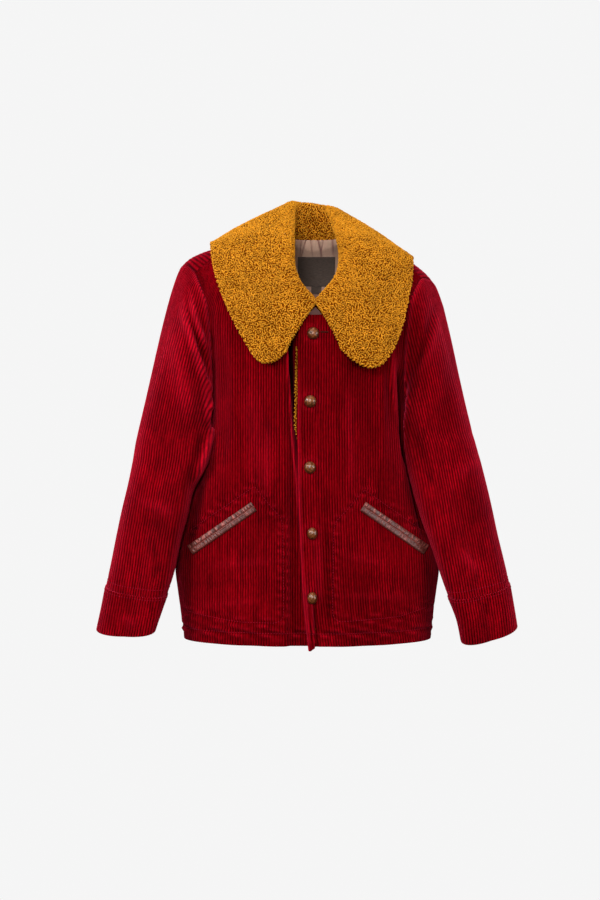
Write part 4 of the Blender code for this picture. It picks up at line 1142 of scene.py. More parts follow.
# Collar: one large sheet of mustard curled fleece, sewn round the neckline, standing at the back and rolled
# over into two broad rounded lobes in front. The pile is thousands of small curls on a knitted back.
PILE = 0.0075
COLLAR_END = 0.96
COLLAR_STEPS = 64
ROLL_RADIUS = 0.005
FALL_BULGE = 0.005
COLLAR_CLEAR = 0.0055
NECK_SEAM = 0.0019
Station = namedtuple("Station", "turn roll_x roll_y roll_z edge_x edge_y edge_z")
COLLAR_RIGHT = (
    Station(0.00, 0.006, 0.060, 0.056, 0.004, 0.122, -0.060),
    Station(0.12, -0.014, 0.058, 0.057, -0.070, 0.114, -0.050),
    Station(0.25, -0.025, 0.045, 0.056, -0.125, 0.076, -0.032),
    Station(0.35, -0.028, 0.022, 0.046, -0.150, 0.028, -0.015),
    Station(0.45, -0.028, -0.005, 0.027, -0.151, -0.018, -0.026),
    Station(0.55, -0.028, -0.037, 0.002, -0.144, -0.057, -0.062),
    Station(0.65, -0.028, -0.068, -0.029, -0.129, -0.090, -0.108),
    Station(0.74, -0.027, -0.094, -0.060, -0.108, -0.118, -0.155),
    Station(0.80, -0.022, -0.106, -0.078, -0.091, -0.130, -0.184),
    Station(0.84, -0.017, -0.112, -0.089, -0.079, -0.136, -0.203),
    Station(0.88, -0.009, -0.117, -0.100, -0.065, -0.140, -0.211),
    Station(0.92, 0.002, -0.121, -0.112, -0.048, -0.142, -0.206),
    Station(0.96, 0.010, -0.124, -0.122, -0.034, -0.142, -0.191),
)
COLLAR_LEFT = (
    Station(0.00, 0.006, 0.060, 0.056, 0.004, 0.122, -0.060),
    Station(0.12, 0.026, 0.058, 0.052, 0.080, 0.112, -0.054),
    Station(0.25, 0.037, 0.045, 0.048, 0.136, 0.074, -0.042),
    Station(0.35, 0.042, 0.022, 0.038, 0.159, 0.028, -0.036),
    Station(0.45, 0.046, -0.005, 0.019, 0.162, -0.018, -0.048),
    Station(0.55, 0.051, -0.037, -0.006, 0.158, -0.057, -0.080),
    Station(0.65, 0.054, -0.068, -0.035, 0.150, -0.086, -0.118),
    Station(0.74, 0.052, -0.094, -0.062, 0.138, -0.112, -0.164),
    Station(0.80, 0.046, -0.106, -0.079, 0.124, -0.126, -0.195),
    Station(0.84, 0.040, -0.112, -0.089, 0.109, -0.134, -0.213),
    Station(0.88, 0.031, -0.117, -0.100, 0.090, -0.139, -0.218),
    Station(0.92, 0.0205, -0.121, -0.112, 0.068, -0.142, -0.207),
    Station(0.96, 0.0125, -0.124, -0.122, 0.050, -0.142, -0.188),
)
Lean = namedtuple("Lean", "turn degrees")
ROLL_LEAN = (
    Lean(0.00, 0),
    Lean(0.12, 14),
    Lean(0.25, 45),
    Lean(0.42, 90),
    Lean(0.60, 125),
    Lean(0.75, 150),
    Lean(0.96, 165),
)
# Curl base, middle and tip: the dark brown base is painted shade in the gaps between curls.
FLEECE_MUSTARD_GAP_SHADED = ((0.165, 0.031, 0.0, 1), (0.430, 0.135, 0.0004, 1), (0.745, 0.318, 0.022, 1))
FLEECE_TINT = (1.0, 0.70, 0.25, 1)
CURL_SPACING = 0.0025
CURL_SIZES = (0.0029, 0.00115, 0.0017)
CURL_VARIES = (0.8, 1.25)
CURL_BEND = 1.5
CURL_LEAN = 0.35
CURL_SIDES = 6
CURL_TILTS = (-20, 42)
ROLL_COMB = 0.024
COMB_PULL = 2.5
BORDER_CURLS = ((0.55, 0.55), (0.22, 0.85))


def neckline(side, front):
    """Top edge of the back and a front from the centre back to the centre front."""
    behind = back_points[-1] if side > 0 else back_points[-1][::-1]
    before = front[-1][::-1]
    behind_out = side * (behind[:, 0] - NECK_X)
    before_out = side * (before[:, 0] - NECK_X)
    behind = behind[(behind_out > 1e-4) & (behind_out < NECK_HALF)]
    before = before[(before_out > -1e-4) & (before_out < NECK_HALF)]
    middle_back = torso(NECK_X, BACK_NECK, 1)[None]
    lifted = np.array([[0.0, LAP_LIFT if side > 0 else 0.0, 0.0]])
    middle_front = torso(NECK_X, FRONT_NECK, -1)[None] - lifted
    return np.concatenate([middle_back, behind, before, middle_front])


def along_line(line, share):
    """Point at a share of a line's length."""
    length = line_lengths(line)
    return np.array([np.interp(share * length[-1], length, line[:, i]) for i in range(3)])


def outside(points, margin):
    """Points moved forward or back to clear the body, the lapped front included."""
    x, y, z = points.T
    top = ridge_height(x) + margin
    lifted = np.clip((z - ROUND_START) / (top - ROUND_START), 0.0, 1.0)
    rounded = 2 - np.arccos(lifted) / (math.pi / 2)
    rise = np.where(z > ROUND_START, rounded, (z - HEM) / (ROUND_START - HEM))
    lap = margin + lap_lift(1, np.abs(x), z)
    before = torso(x, rise, -1)[:, 1] - lap
    behind = torso(x, rise, 1)[:, 1] + margin
    moved = np.where(y < RIDGE_Y, np.minimum(y, before), np.maximum(y, behind))
    return np.stack([x, np.where(z > top, y, moved), z], axis=-1)


def collar_profile(side, turn, line):
    """Under side of the collar at one station: neck seam, stand, roll, fall and free edge."""
    rows = COLLAR_LEFT if side > 0 else COLLAR_RIGHT
    roll = np.array([smooth(rows, "turn", name, turn) for name in ("roll_x", "roll_y", "roll_z")])
    edge = np.array([smooth(rows, "turn", name, turn) for name in ("edge_x", "edge_y", "edge_z")])
    neck = along_line(line, turn)
    inward = np.array([NECK_X - neck[0], -0.02 - neck[1], 0.0])
    neck = neck + unit(inward) * NECK_SEAM + np.array([0.0, 0.0, NECK_SEAM])
    fall = unit(edge - roll)
    stand = unit(neck - roll)
    along = unit(fall + stand)
    lean = math.radians(float(smooth(ROLL_LEAN, "turn", "degrees", turn)))
    apart = np.array([0.0, math.cos(lean), math.sin(lean)])
    apart = unit(apart - np.dot(apart, along) * along)
    centre = roll + along * ROLL_RADIUS
    inner = centre - apart * ROLL_RADIUS
    points = [neck * (1 - share) + inner * share for share in (0.0, 0.2, 0.4, 0.6, 0.8)]
    for swing in np.radians(np.linspace(-90, 90, 9)):
        points.append(centre + ROLL_RADIUS * (apart * math.sin(swing) - along * math.cos(swing)))
    for share in np.linspace(0, 1, 19)[1:]:
        bulge = ROLL_RADIUS * (1 - share) + FALL_BULGE * 4 * share * (1 - share)
        points.append(centre * (1 - share) + edge * share + apart * bulge)
    points = np.array(points)
    points[-18:] = outside(points[-18:], COLLAR_CLEAR)
    return points


def grid_faces(shape, flip=False):
    """Faces of a whole grid of points."""
    faces = quad_faces(np.arange(shape[0] * shape[1]).reshape(shape[:2]))
    return [face[::-1] for face in faces] if flip else faces


def scatter(points, normals, faces, spacing, seed):
    """Evenly spread places on a mesh, with their normals."""
    draw = np.random.default_rng(seed)
    corners = np.array([face[:3] for face in faces] + [[face[0], face[2], face[3]] for face in faces])
    a, b, c = (points[corners[:, i]] for i in range(3))
    area = np.linalg.norm(np.cross(b - a, c - a), axis=1) / 2
    count = int(area.sum() / spacing ** 2 * 5)
    pick = draw.choice(len(corners), count, p=area / area.sum())
    first = np.sqrt(draw.random(count))[:, None]
    second = draw.random(count)[:, None]
    weights = np.concatenate([1 - first, first * (1 - second), first * second], axis=1)
    spots = np.einsum("ij,ijk->ik", weights, points[corners[pick]])
    facing = np.einsum("ij,ijk->ik", weights, normals[corners[pick]])
    tree = KDTree(count)
    for index, spot in enumerate(spots):
        tree.insert(spot, index)
    tree.balance()
    free = np.ones(count, bool)
    kept = []
    for index in range(count):
        if free[index]:
            kept.append(index)
            for _, near, _ in tree.find_range(spots[index], spacing):
                free[near] = False
    return spots[kept], unit(facing[kept])


def curl_shape():
    """One curl: a small closed bean, long in x, with its faces."""
    points = [(0.0, 0.0, -1.0)]
    for tilt in CURL_TILTS:
        for side in range(CURL_SIDES):
            swing = 2 * math.pi * side / CURL_SIDES
            flat = math.cos(math.radians(tilt))
            points.append((flat * math.cos(swing), flat * math.sin(swing), math.sin(math.radians(tilt))))
    points.append((0.0, 0.0, 1.0))
    faces = []
    for side in range(CURL_SIDES):
        after = (side + 1) % CURL_SIDES
        faces.append([0, 1 + after, 1 + side])
        faces.append([1 + side, 1 + after, 1 + CURL_SIDES + after, 1 + CURL_SIDES + side])
        faces.append([1 + CURL_SIDES + side, 1 + CURL_SIDES + after, 1 + 2 * CURL_SIDES])
    return np.array(points), faces


def curls(name, spots, facing, seed, material, size=1.0, roll=None):
    """Joined mesh of curls that lie every way on a pile, and are combed flat over a roll line."""
    draw = np.random.default_rng(seed)
    shape, shape_faces = curl_shape()
    count = len(spots)
    lying = draw.normal(size=(count, 3))
    combed = np.zeros(count)
    if roll is not None:
        apart = np.linalg.norm(spots[:, None] - roll[None], axis=2)
        nearest = apart.argmin(axis=1)
        combed = bell(apart.min(axis=1), ROLL_COMB)
        along = np.gradient(roll, axis=0)[nearest]
        lying += COMB_PULL * combed[:, None] * unit(along)
    first = unit(np.cross(facing, lying))
    second = np.cross(facing, first)
    scales = np.array(CURL_SIZES) * size * draw.uniform(*CURL_VARIES, (count, 3))
    bend = draw.uniform(-CURL_BEND, CURL_BEND, count)
    tilt = draw.uniform(-CURL_LEAN, CURL_LEAN, count)
    local = shape[None] * np.ones((count, 1, 1))
    local[..., 1] += bend[:, None] * (local[..., 0] ** 2 - 0.4)
    local[..., 2] += tilt[:, None] * local[..., 0]
    local = local * scales[:, None, :]
    points = spots[:, None] + first[:, None] * local[..., :1] + second[:, None] * local[..., 1:2]
    points = points + facing[:, None] * local[..., 2:]
    offsets = np.arange(count) * len(shape)
    faces = [[corner + offset for corner in face] for offset in offsets.tolist() for face in shape_faces]
    # tip: height up each curl, which the fleece colour turns into painted shade at its base.
    tip = (shape[:, 2] * 0.5 + 0.5)[None] * (1 - 0.4 * combed[:, None]) + 0.33 * combed[:, None]
    tone = np.repeat(draw.uniform(0.0, 1.0, count), len(shape))
    return mesh_object(name, points.reshape(-1, 3), faces, [material], sharp=180, tip=tip.ravel(), tone=tone)


def fleece_material(name, depth=1.0):
    """Mustard wool curls: brown in the gaps and at the base of each curl as painted shade, golden towards the
    tips, each curl a little different.
    """
    material, tree, shader = new_material(
        name, Roughness=0.95, Specular_IOR_Level=0.02,
        Sheen_Weight=0.10, Sheen_Roughness=0.4, Sheen_Tint=FLEECE_TINT,
    )
    gap_shaded_wool = colour_ramp(tree, attribute(tree, "tip"), list(zip((0.15, 0.6, 1.0), FLEECE_MUSTARD_GAP_SHADED)))
    each = add_node(tree, "ShaderNodeMapRange", **{"To Min": 0.78, "To Max": 1.18})
    tree.links.new(attribute(tree, "tone"), each.inputs["Value"])
    # depth below 1 darkens a whole copy as painted shade.
    clouds = remap(tree, noise_at(tree, 22.0, 3.0), 0.86 * depth, 1.10 * depth)
    colour = scale_colour(tree, gap_shaded_wool, multiply(tree, each.outputs["Result"], clouds))
    tree.links.new(colour, shader.inputs["Base Color"])
    bump(tree, shader, noise_at(tree, 1900.0, 4.0), 0.8, 0.0009)
    return material


collar_fleece = fleece_material("collar_fleece")
steps = np.linspace(0.0, 1.0, COLLAR_STEPS + 1)
collar_turns = COLLAR_END * (1 - (1 - steps) ** 1.35)
right_neck = neckline(-1, front_right_grid)
left_neck = neckline(1, front_left_grid)
right_half = [collar_profile(-1, turn, right_neck) for turn in collar_turns[::-1]]
left_half = [collar_profile(1, turn, left_neck) for turn in collar_turns[1:]]
collar_points = np.array(right_half + left_half)
collar_faces = grid_faces(collar_points.shape, flip=True)
collar_back = collar_points.reshape(-1, 3)
collar_normals = sheet_normals(collar_back, collar_faces)
# The backing sheet takes the dark curl-base tone as painted shade between the curls.
collar = thick_sheet(
    "collar_cloth", collar_back, collar_faces, 0.0, PILE * 0.70,
    [collar_fleece, collar_fleece], tip=np.full(len(collar_back), 0.2), tone=np.full(len(collar_back), 0.5),
)
pile = collar_back + collar_normals * PILE * 0.78
spots, facing = scatter(pile, collar_normals, collar_faces, CURL_SPACING, 11)
shaped = collar_normals.reshape(collar_points.shape)
border = (
    (collar_points[:, -1], collar_points[:, -1] - collar_points[:, -2], shaped[:, -1]),
    (collar_points[0, 8:], collar_points[0, 8:] - collar_points[1, 8:], shaped[0, 8:]),
    (collar_points[-1, 8:], collar_points[-1, 8:] - collar_points[-2, 8:], shaped[-1, 8:]),
)
for line, out, up in border:
    at = np.linspace(0, len(line) - 1, int(line_lengths(line)[-1] / CURL_SPACING))
    pick = np.round(at).astype(int)
    for height, turn in BORDER_CURLS:
        spots = np.concatenate([spots, line[pick] + up[pick] * PILE * height])
        way = unit(out)[pick] * turn + up[pick] * (1 - turn)
        facing = np.concatenate([facing, unit(way)])
in_place(collar, "collar")
wearer_right = spots[:, 0] < NECK_X
for name, half, seed in (("collar_curls_right", wearer_right, 12), ("collar_curls_left", ~wearer_right, 13)):
    tufts = curls(name, spots[half], facing[half], seed, collar_fleece, roll=collar_points[:, 9])
    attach(tufts, "root")

# Facing: a strip of the same fleece sewn inside the edge of the overlapping front. Near the top it shows
# beside the edge as a narrow wedge.
FACING_PILE = 0.0045
FACING_INNER = 0.034
FACING_GAP = 0.0009
FACING_RISES = (0.03, 1.16)
FACING_ROWS = 60
# The facing is the same fleece painted darker (0.74) as painted shade, for its place under the overlapping
# edge.
facing_fleece = fleece_material("facing_fleece", 0.74)
facing_rows = []
for level in np.linspace(*FACING_RISES, FACING_ROWS):
    x = np.linspace(float(smooth(LAP_EDGE, "rise", "facing_edge", level)), FACING_INNER, 13)
    line = torso(x, front_rise(x, level), -1)
    line[:, 1] -= LAP_LIFT - WALL - FACING_GAP
    facing_rows.append(line)
facing_grid = np.array(facing_rows)
facing_faces = grid_faces(facing_grid.shape)
facing_points = facing_grid.reshape(-1, 3)
facing_count = len(facing_points)
# The facing's backing takes the dark curl-base tone as painted shade between the curls.
facing_left = thick_sheet(
    "facing_cloth", facing_points, facing_faces, FACING_PILE * 0.75, 0.0,
    [facing_fleece, facing_fleece], tip=np.full(facing_count, 0.2), tone=np.full(facing_count, 0.5),
)
facing_normals = sheet_normals(facing_points, facing_faces)
spots, ways = scatter(facing_points, facing_normals, facing_faces, CURL_SPACING, 21)
shown = spots[:, 0] < np.interp(spots[:, 2], (HEM, -0.30), (0.002, -0.0125))
edge_line = facing_grid[:, 0]
edge_at = np.linspace(0, len(edge_line) - 1, 130).round().astype(int)
edge_spots = edge_line[edge_at] + np.array([0.0, FACING_PILE * 0.45, 0.0])
edge_ways = np.tile([[-0.8, -0.6, 0.0]], (len(edge_at), 1))
inner_spots, inner_ways = scatter(
    facing_points - facing_normals * FACING_PILE * 0.85, -facing_normals, facing_faces, CURL_SPACING * 1.4, 22
)
facing_curls = curls(
    "facing_curls", np.concatenate([spots[shown] + ways[shown] * 0.0002, edge_spots, inner_spots]),
    np.concatenate([ways[shown], edge_ways, inner_ways]), 23, facing_fleece, 0.8,
)
in_place(facing_left, "facing_left")
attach(facing_curls, "root")

# Back lining: smooth taupe cloth sewn inside the back, pulled into upright creases under the collar seam,
# with a bare dark woven label and a small size tab sewn to it.
LINING_WALL = 0.001
LINING_HALF = 0.104
LINING_LOW = 0.07
LINING_DEPTH = 0.0040
LABEL_X = 0.0145
LABEL_SIZE = (0.062, 0.045)
LABEL_TOP = -0.022
TAB_SIZE = (0.017, 0.012)
TAG_WALL = 0.001
# The label's brown is painted lighter than the tape as painted light, standing in for light that barely
# reaches inside.
LABEL_BROWN_LIGHTENED = (0.110, 0.080, 0.065, 1)
NECK_PUSH = 0.0165
NECK_PUSH_FROM = (-0.062, 0.030)
NECK_PUSH_SIDES = (0.068, 0.050)
NECK_SHOW = -0.0016
# Painted shade on the lining, growing lower down inside the coat.
LOW_SHADE = 0.0020
LOW_SHADE_FROM = (-0.060, -0.095)
PUCKER_FROM = (-0.036, -0.014)
FOLD_SHADE_FULL = 0.002
Pucker = namedtuple("Pucker", "x slant half_width depth")
LINING_PUCKERS = (
    Pucker(-0.0520, 0.10, 0.0030, 0.0022),
    Pucker(-0.0300, -0.15, 0.0024, 0.0018),
    Pucker(-0.0105, 0.10, 0.0016, 0.0018),
    Pucker(-0.0030, 0.30, 0.0014, 0.0020),
    Pucker(0.0051, -0.10, 0.0014, 0.0014),
    Pucker(0.0165, -0.25, 0.0017, 0.0026),
    Pucker(0.0250, 0.15, 0.0014, 0.0016),
    Pucker(0.0400, -0.10, 0.0024, 0.0018),
    Pucker(0.0620, 0.10, 0.0034, 0.0024),
)


def lining_point(x, rise, depth):
    """Points inside the back by a depth below its outer face."""
    step = 0.004
    centre = torso(x, rise, 1)
    across = torso(np.asarray(x) + step, rise, 1) - centre
    up = torso(x, np.asarray(rise) + step, 1) - centre
    normal = unit(np.cross(up, across))
    return centre - normal * np.asarray(depth)[..., None]


def neck_lean(x, z):
    """How far the lining stands forward under the neck seam."""
    return NECK_PUSH * fade(*NECK_PUSH_SIDES, np.abs(x - NECK_X)) * fade(*NECK_PUSH_FROM, z)


def puckers_at(x, z):
    """Depth of the small upright troughs under the collar seam."""
    depth = np.zeros(len(x))
    for pucker in LINING_PUCKERS:
        apart = x - pucker.x - pucker.slant * z
        depth += pucker.depth * bell(apart, pucker.half_width) * fade(*PUCKER_FROM, z)
    return depth


lining_rows, lining_shade = [], []
across_places = np.linspace(-1, 1, 241)
for share in np.concatenate([np.linspace(0, 0.75, 14), np.linspace(0.75, 1, 20)[1:]]):
    x = NECK_X * share + LINING_HALF * across_places
    top = np.minimum(back_rise(x, BACK_TOP) - 0.008, 1.90)
    line = lining_point(x, LINING_LOW + (top - LINING_LOW) * share, LINING_DEPTH)
    top_z = lining_point(x, top, LINING_DEPTH)[:, 2]
    at_neck = fade(*NECK_PUSH_SIDES, np.abs(x - NECK_X))
    depth = puckers_at(x, line[:, 2])
    line[:, 1] += depth - neck_lean(x, line[:, 2])
    lining_rows.append(line)
    lining_shade.append(depth + LOW_SHADE * fade(*LOW_SHADE_FROM, line[:, 2]))
show = np.clip(NECK_SHOW - top_z, 0.0006, 0.020) * at_neck + 0.0003
seam_line, seam_shade = lining_rows[-1], lining_shade[-1]
seam_step = seam_line - lining_rows[-2]
seam_lean = np.clip(seam_step[:, 1] / np.maximum(seam_step[:, 2], 0.0002), -0.7, 0.0)
for share in np.linspace(0, 1, 9)[1:]:
    line = seam_line.copy()
    line[:, 2] += show * share
    line[:, 1] += puckers_at(x, line[:, 2]) - seam_shade
    line[:, 1] += seam_lean * show * share * (1 - 0.25 * share) * at_neck
    lining_rows.append(line)
    lining_shade.append(puckers_at(x, line[:, 2]))
lining_grid = np.array(lining_rows)
lining_faces = grid_faces(lining_grid.shape, flip=True)
lining_flat = lining_grid.reshape(-1, 3)
lining_back = thick_sheet(
    "lining_cloth", lining_flat, lining_faces, LINING_WALL, 0.0, [lining_material("lining_twill")] * 2,
    pucker=np.clip(np.concatenate(lining_shade) / FOLD_SHADE_FULL, 0.0, 1.0),
)
in_place(lining_back, "lining_back")


def label_material(name):
    """Dark woven tape with a fine rib."""
    material, tree, shader = new_material(name, Roughness=0.8, Specular_IOR_Level=0.2, Sheen_Weight=0.1)
    weave = remap(tree, noise_at(tree, 700.0, 2.0, (0.3, 1.0, 1.6)), 0.75, 1.30)
    tree.links.new(scale_colour(tree, LABEL_BROWN_LIGHTENED, weave), shader.inputs["Base Color"])
    bump(tree, shader, noise_at(tree, 900.0, 2.0, (0.3, 1.0, 1.6)), 0.4, 0.0003)
    return material


def back_tag(name, middle, top, size, depth, material):
    """A small tag on the inner face of the lining, its free edge a little wavy."""
    x = np.linspace(middle - size[0] / 2, middle + size[0] / 2, 33)
    z = np.linspace(top - size[1], top, 25)
    x, z = np.meshgrid(x, z)
    wave = 0.0006 * np.sin((x - middle) * 160) * (top - z) / size[1]
    points = lining_point(x, torso_rise(x, z), depth + np.abs(wave))
    points[..., 1] -= neck_lean(points[..., 0], points[..., 2])
    points = points.reshape(-1, 3)
    faces = grid_faces((25, 33))
    return thick_sheet(name, points, faces, 0.0, TAG_WALL, [material] * 2)


label_tape = label_material("label_tape")
tag_depth = LINING_DEPTH + LINING_WALL + 0.0010
label = back_tag("label_cloth", LABEL_X, LABEL_TOP, LABEL_SIZE, tag_depth, label_tape)
tab_top = LABEL_TOP - LABEL_SIZE[1] - 0.0006
size_tab = back_tag("size_tab_cloth", LABEL_X, tab_top, TAB_SIZE, tag_depth, label_tape)
in_place(label, "label")
in_place(size_tab, "size_tab")

# Pockets: a slanted slit in each front, bound by two lips of thin brown leather that meet in the middle.
# The leather is soft, and is crinkled across its length where it is sewn down.
POCKET_INNER = (0.082, -0.428)
POCKET_OUTER = (0.182, -0.498)
LIP_WIDTH = 0.0080
LIP_WALL = 0.0022
LIP_SEAT = 0.0008
LIP_EDGE = 0.0008
LIP_CROWN = 0.0011
LIP_CRINKLE = 0.0008
LIP_STEPS = 250
LIP_ACROSS = 13
# Leather ramp that the lips' painted highlight and shade tone runs along.
LEATHER_TAUPE = ((0.034, 0.005, 0.003, 1), (0.140, 0.029, 0.022, 1), (0.480, 0.135, 0.112, 1))


def lie_on(side, x, z, off):
    """Points moved out from a front by a distance."""
    step = 0.002

    def bare(across, height):
        depth = torso(across, torso_rise(across, height), -1)[..., 1] - lap_lift(side, across, height)
        return np.stack([across, depth, height], axis=-1)

    x = np.asarray(x, float)
    z = np.asarray(z, float)
    centre = bare(x, z)
    normal = unit(np.cross(bare(x + step, z) - centre, bare(x, z + step) - centre))
    rise = torso_rise(x, z)
    place = np.abs(x) / side_x(side, rise, FRONT_ARMHOLE)
    folded = fold_height(FRONT_FOLDS, place, rise, HALF_GIRTH) * fade(1.0, 0.9, place)
    return centre + normal * (np.asarray(off) + folded)[..., None]


def crinkles(along, across, seed):
    """Small uneven ridges across a strip of soft leather."""
    draw = np.random.default_rng(seed)
    height = np.zeros(np.broadcast(along, across).shape)
    for middle in np.sort(draw.uniform(0.0, 0.122, 80)):
        slant = draw.uniform(-0.5, 0.5)
        width = draw.uniform(0.00045, 0.0010)
        height += draw.uniform(0.3, 1.0) * bell(along - middle - slant * across, width)
    return np.clip(height, 0.0, 1.3)


def leather_material(name):
    """Soft brown leather: dark in the creases as painted shade, pale on the crinkle ridges and the lips'
    inner edges as painted highlight.
    """
    material, tree, shader = new_material(name, Roughness=0.42, Specular_IOR_Level=0.5)
    worn = remap(tree, noise_at(tree, 160.0, 4.0), 0.75, 1.25)
    skin = colour_ramp(tree, attribute(tree, "ridge"), list(zip((0.0, 0.5, 1.0), LEATHER_TAUPE)))
    tree.links.new(scale_colour(tree, skin, worn), shader.inputs["Base Color"])
    bump(tree, shader, noise_at(tree, 1300.0, 4.0), 0.4, 0.0004)
    return material


def pocket_lip(name, side, upper, seed, material):
    """One leather lip of a slanted pocket, on the points of its front."""
    inner = np.array(POCKET_INNER)
    outer = np.array(POCKET_OUTER)
    length = np.linalg.norm(outer - inner)
    along = (outer - inner) / length
    across = np.array([along[1], -along[0]]) * (-1 if upper else 1)
    places = np.linspace(0.0, length, LIP_STEPS)[:, None]
    widths = np.linspace(SEAM / 2, LIP_WIDTH, LIP_ACROSS)[None, :]
    spots = inner + along * places[..., None] + across * widths[..., None]
    part = widths / LIP_WIDTH
    crown = LIP_CROWN * np.sqrt(np.clip(4 * part * (1 - part), 0.0, 1.0))
    if not upper:
        crown = crown + LIP_EDGE * fade(0.30, 0.04, part)
    strength = 1.0 if upper else 0.6
    ridges = strength * crinkles(places, widths, seed) * fade(0.0, 0.3, part) * fade(1.0, 0.8, part)
    base = lie_on(side, side * spots[..., 0], spots[..., 1], np.full(spots.shape[:2], LIP_SEAT))
    heights = (LIP_WALL - LIP_CRINKLE + crown + LIP_CRINKLE * ridges).ravel()
    # Painted light: lighter on the crinkle ridges and at the inner edge as painted highlight, darker between
    # them as painted shade.
    tone = (0.22 + 0.50 * ridges + 0.50 * fade(0.16, 0.02, part)).ravel()
    faces = grid_faces(base.shape, flip=(side > 0) == upper)
    points = base.reshape(-1, 3)
    return thick_sheet(name, points, faces, 0.0, heights, [material] * 2, ridge=tone)


pocket_leather = leather_material("pocket_leather")
for side, name, seed in ((1, "left", 31), (-1, "right", 41)):
    for upper, edge in ((True, "upper"), (False, "lower")):
        node = "pocket_lip_" + edge + "_" + name
        lip = pocket_lip(node + "_leather", side, upper, seed + upper, pocket_leather)
        in_place(lip, node)

# Buttons: five domed knots of polished brown leather, each woven from flat straps and sewn on through
# the overlapping front. The lower ones lean a little to one side.
BUTTON_RADIUS = 0.0093
BUTTON_DOME = 0.0064
BUTTON_BACK = 0.0016
BUTTON_SEAT = 0.0004
BUTTON_SIDES = 48
STRAP = 0.0046
STRAP_RISE = 0.0005
# Brown ramp that each button's painted light and shade tone runs along.
BUTTON_BROWN = ((0.016, 0.0030, 0.0015, 1), (0.105, 0.024, 0.006, 1), (0.300, 0.105, 0.026, 1))


def knot_button(name, spot, material):
    """Domed button whose back lies on the overlapping front."""
    seat = lie_on(1, spot.x, spot.height, SEAM + BUTTON_SEAT)
    tip = lie_on(1, spot.x, spot.height, 0.01)
    axis = unit(tip - seat)
    side = unit(np.cross([0.0, 0.0, 1.0], axis))
    up = np.cross(axis, side)
    rings = np.concatenate([np.linspace(0.0, 90, 22)[1:], [120, 150]])
    swings = np.linspace(0, 2 * math.pi, BUTTON_SIDES, endpoint=False)
    points = [(0.0, 0.0, BUTTON_DOME)]
    for ring in np.radians(rings):
        depth = BUTTON_DOME if ring <= math.pi / 2 else BUTTON_BACK
        for swing in swings:
            flat = BUTTON_RADIUS * math.sin(ring)
            points.append((flat * math.cos(swing), flat * math.sin(swing), depth * math.cos(ring)))
    points.append((0.0, 0.0, -BUTTON_BACK))
    points = np.array(points)
    spin = math.radians(spot.spin)
    u = (points[:, 0] * math.cos(spin) + points[:, 1] * math.sin(spin)) / STRAP + 0.5
    v = (points[:, 1] * math.cos(spin) - points[:, 0] * math.sin(spin)) / STRAP + 0.5
    over = (np.floor(u) + np.floor(v)) % 2 == 0
    strap = np.where(over, np.sin(math.pi * (v % 1.0)), np.sin(math.pi * (u % 1.0)))
    crown = np.clip(points[:, 2] / BUTTON_DOME, 0.0, 1.0)
    raised = 1 + (STRAP_RISE / BUTTON_RADIUS) * (np.sqrt(strap) - 1) * fade(0.0, 0.25, crown)
    points = points * raised[:, None]
    points[:, 2] += BUTTON_BACK
    points[:, 0] *= spot.wide
    ids = np.arange(1, 1 + len(rings) * BUTTON_SIDES).reshape(len(rings), BUTTON_SIDES)
    ids = np.concatenate([ids, ids[:, :1]], axis=1)
    faces = [face[::-1] for face in quad_faces(ids)]
    for index in range(BUTTON_SIDES):
        after = (index + 1) % BUTTON_SIDES
        faces.append([0, 1 + index, 1 + after])
        faces.append([len(points) - 1, ids[-1, after], ids[-1, index]])
    faces = [[int(corner) for corner in face] for face in faces]
    lean = math.radians(spot.lean)
    turned = axis * math.cos(lean) - side * math.sin(lean)
    side = side * math.cos(lean) + axis * math.sin(lean)
    placed = seat + points[:, :1] * side + points[:, 1:2] * up + points[:, 2:] * turned
    # Painted light: the tone is lighter on the button's upper side and crown, and darker at the strap edges
    # as painted shade.
    lit = np.clip(0.5 + 0.5 * points[:, 1] / BUTTON_RADIUS, 0.0, 1.0)
    ridge = 0.05 + 0.22 * crown + 0.30 * lit + 0.40 * strap * (0.45 + 0.55 * crown)
    return mesh_object(name, placed, faces, [material], ridge=ridge)


def button_material(name):
    """Polished brown leather straps, dark where they cross as painted shade; the tone is painted lighter on
    the upper side and crown as painted light.
    """
    material, tree, shader = new_material(
        name, Roughness=0.32, Specular_IOR_Level=0.50, Coat_Weight=0.12, Coat_Roughness=0.14
    )
    worn = remap(tree, noise_at(tree, 330.0, 3.0), 0.25, 1.75)
    skin = colour_ramp(tree, attribute(tree, "ridge"), list(zip((0.1, 0.5, 1.0), BUTTON_BROWN)))
    tree.links.new(scale_colour(tree, skin, worn), shader.inputs["Base Color"])
    bump(tree, shader, noise_at(tree, 1500.0, 3.0), 0.25, 0.0003)
    return material


button_leather = button_material("button_leather")
for number, spot in enumerate(BUTTONS, start=1):
    button = knot_button("button_" + str(number) + "_knot", spot, button_leather)
    in_place(button, "button_" + str(number))

# Topstitching: tonal thread round the pocket bags, along the hem and on either side of the cuff seams,
# and the bound buttonhole that shows beside the top button.
STITCH = 0.0026
STITCH_GAP = 0.0018
THREAD = 0.00042
THREAD_SIDES = 6
STITCH_RISES = (-0.6, 0.5, 0.5, -0.6)
STITCH_WIDTHS = (0.6, 1.0, 1.0, 0.6)
SIGHT_Y = -0.4
THREAD_RED = (0.300, 0.006, 0.022, 1)
THREAD_BROWN = (0.060, 0.010, 0.006, 1)
BUTTONHOLE = ((0.0185, 0.0300), -0.1635, 0.0036)


def surface_tree(pieces):
    """Search tree of the outer cloth of some pieces."""
    points, faces = [], []
    for piece in pieces:
        base = len(points)
        points += [tuple(vertex.co) for vertex in piece.data.vertices]
        faces += [[base + corner for corner in polygon.vertices] for polygon in piece.data.polygons]
    return BVHTree.FromPolygons(points, faces)


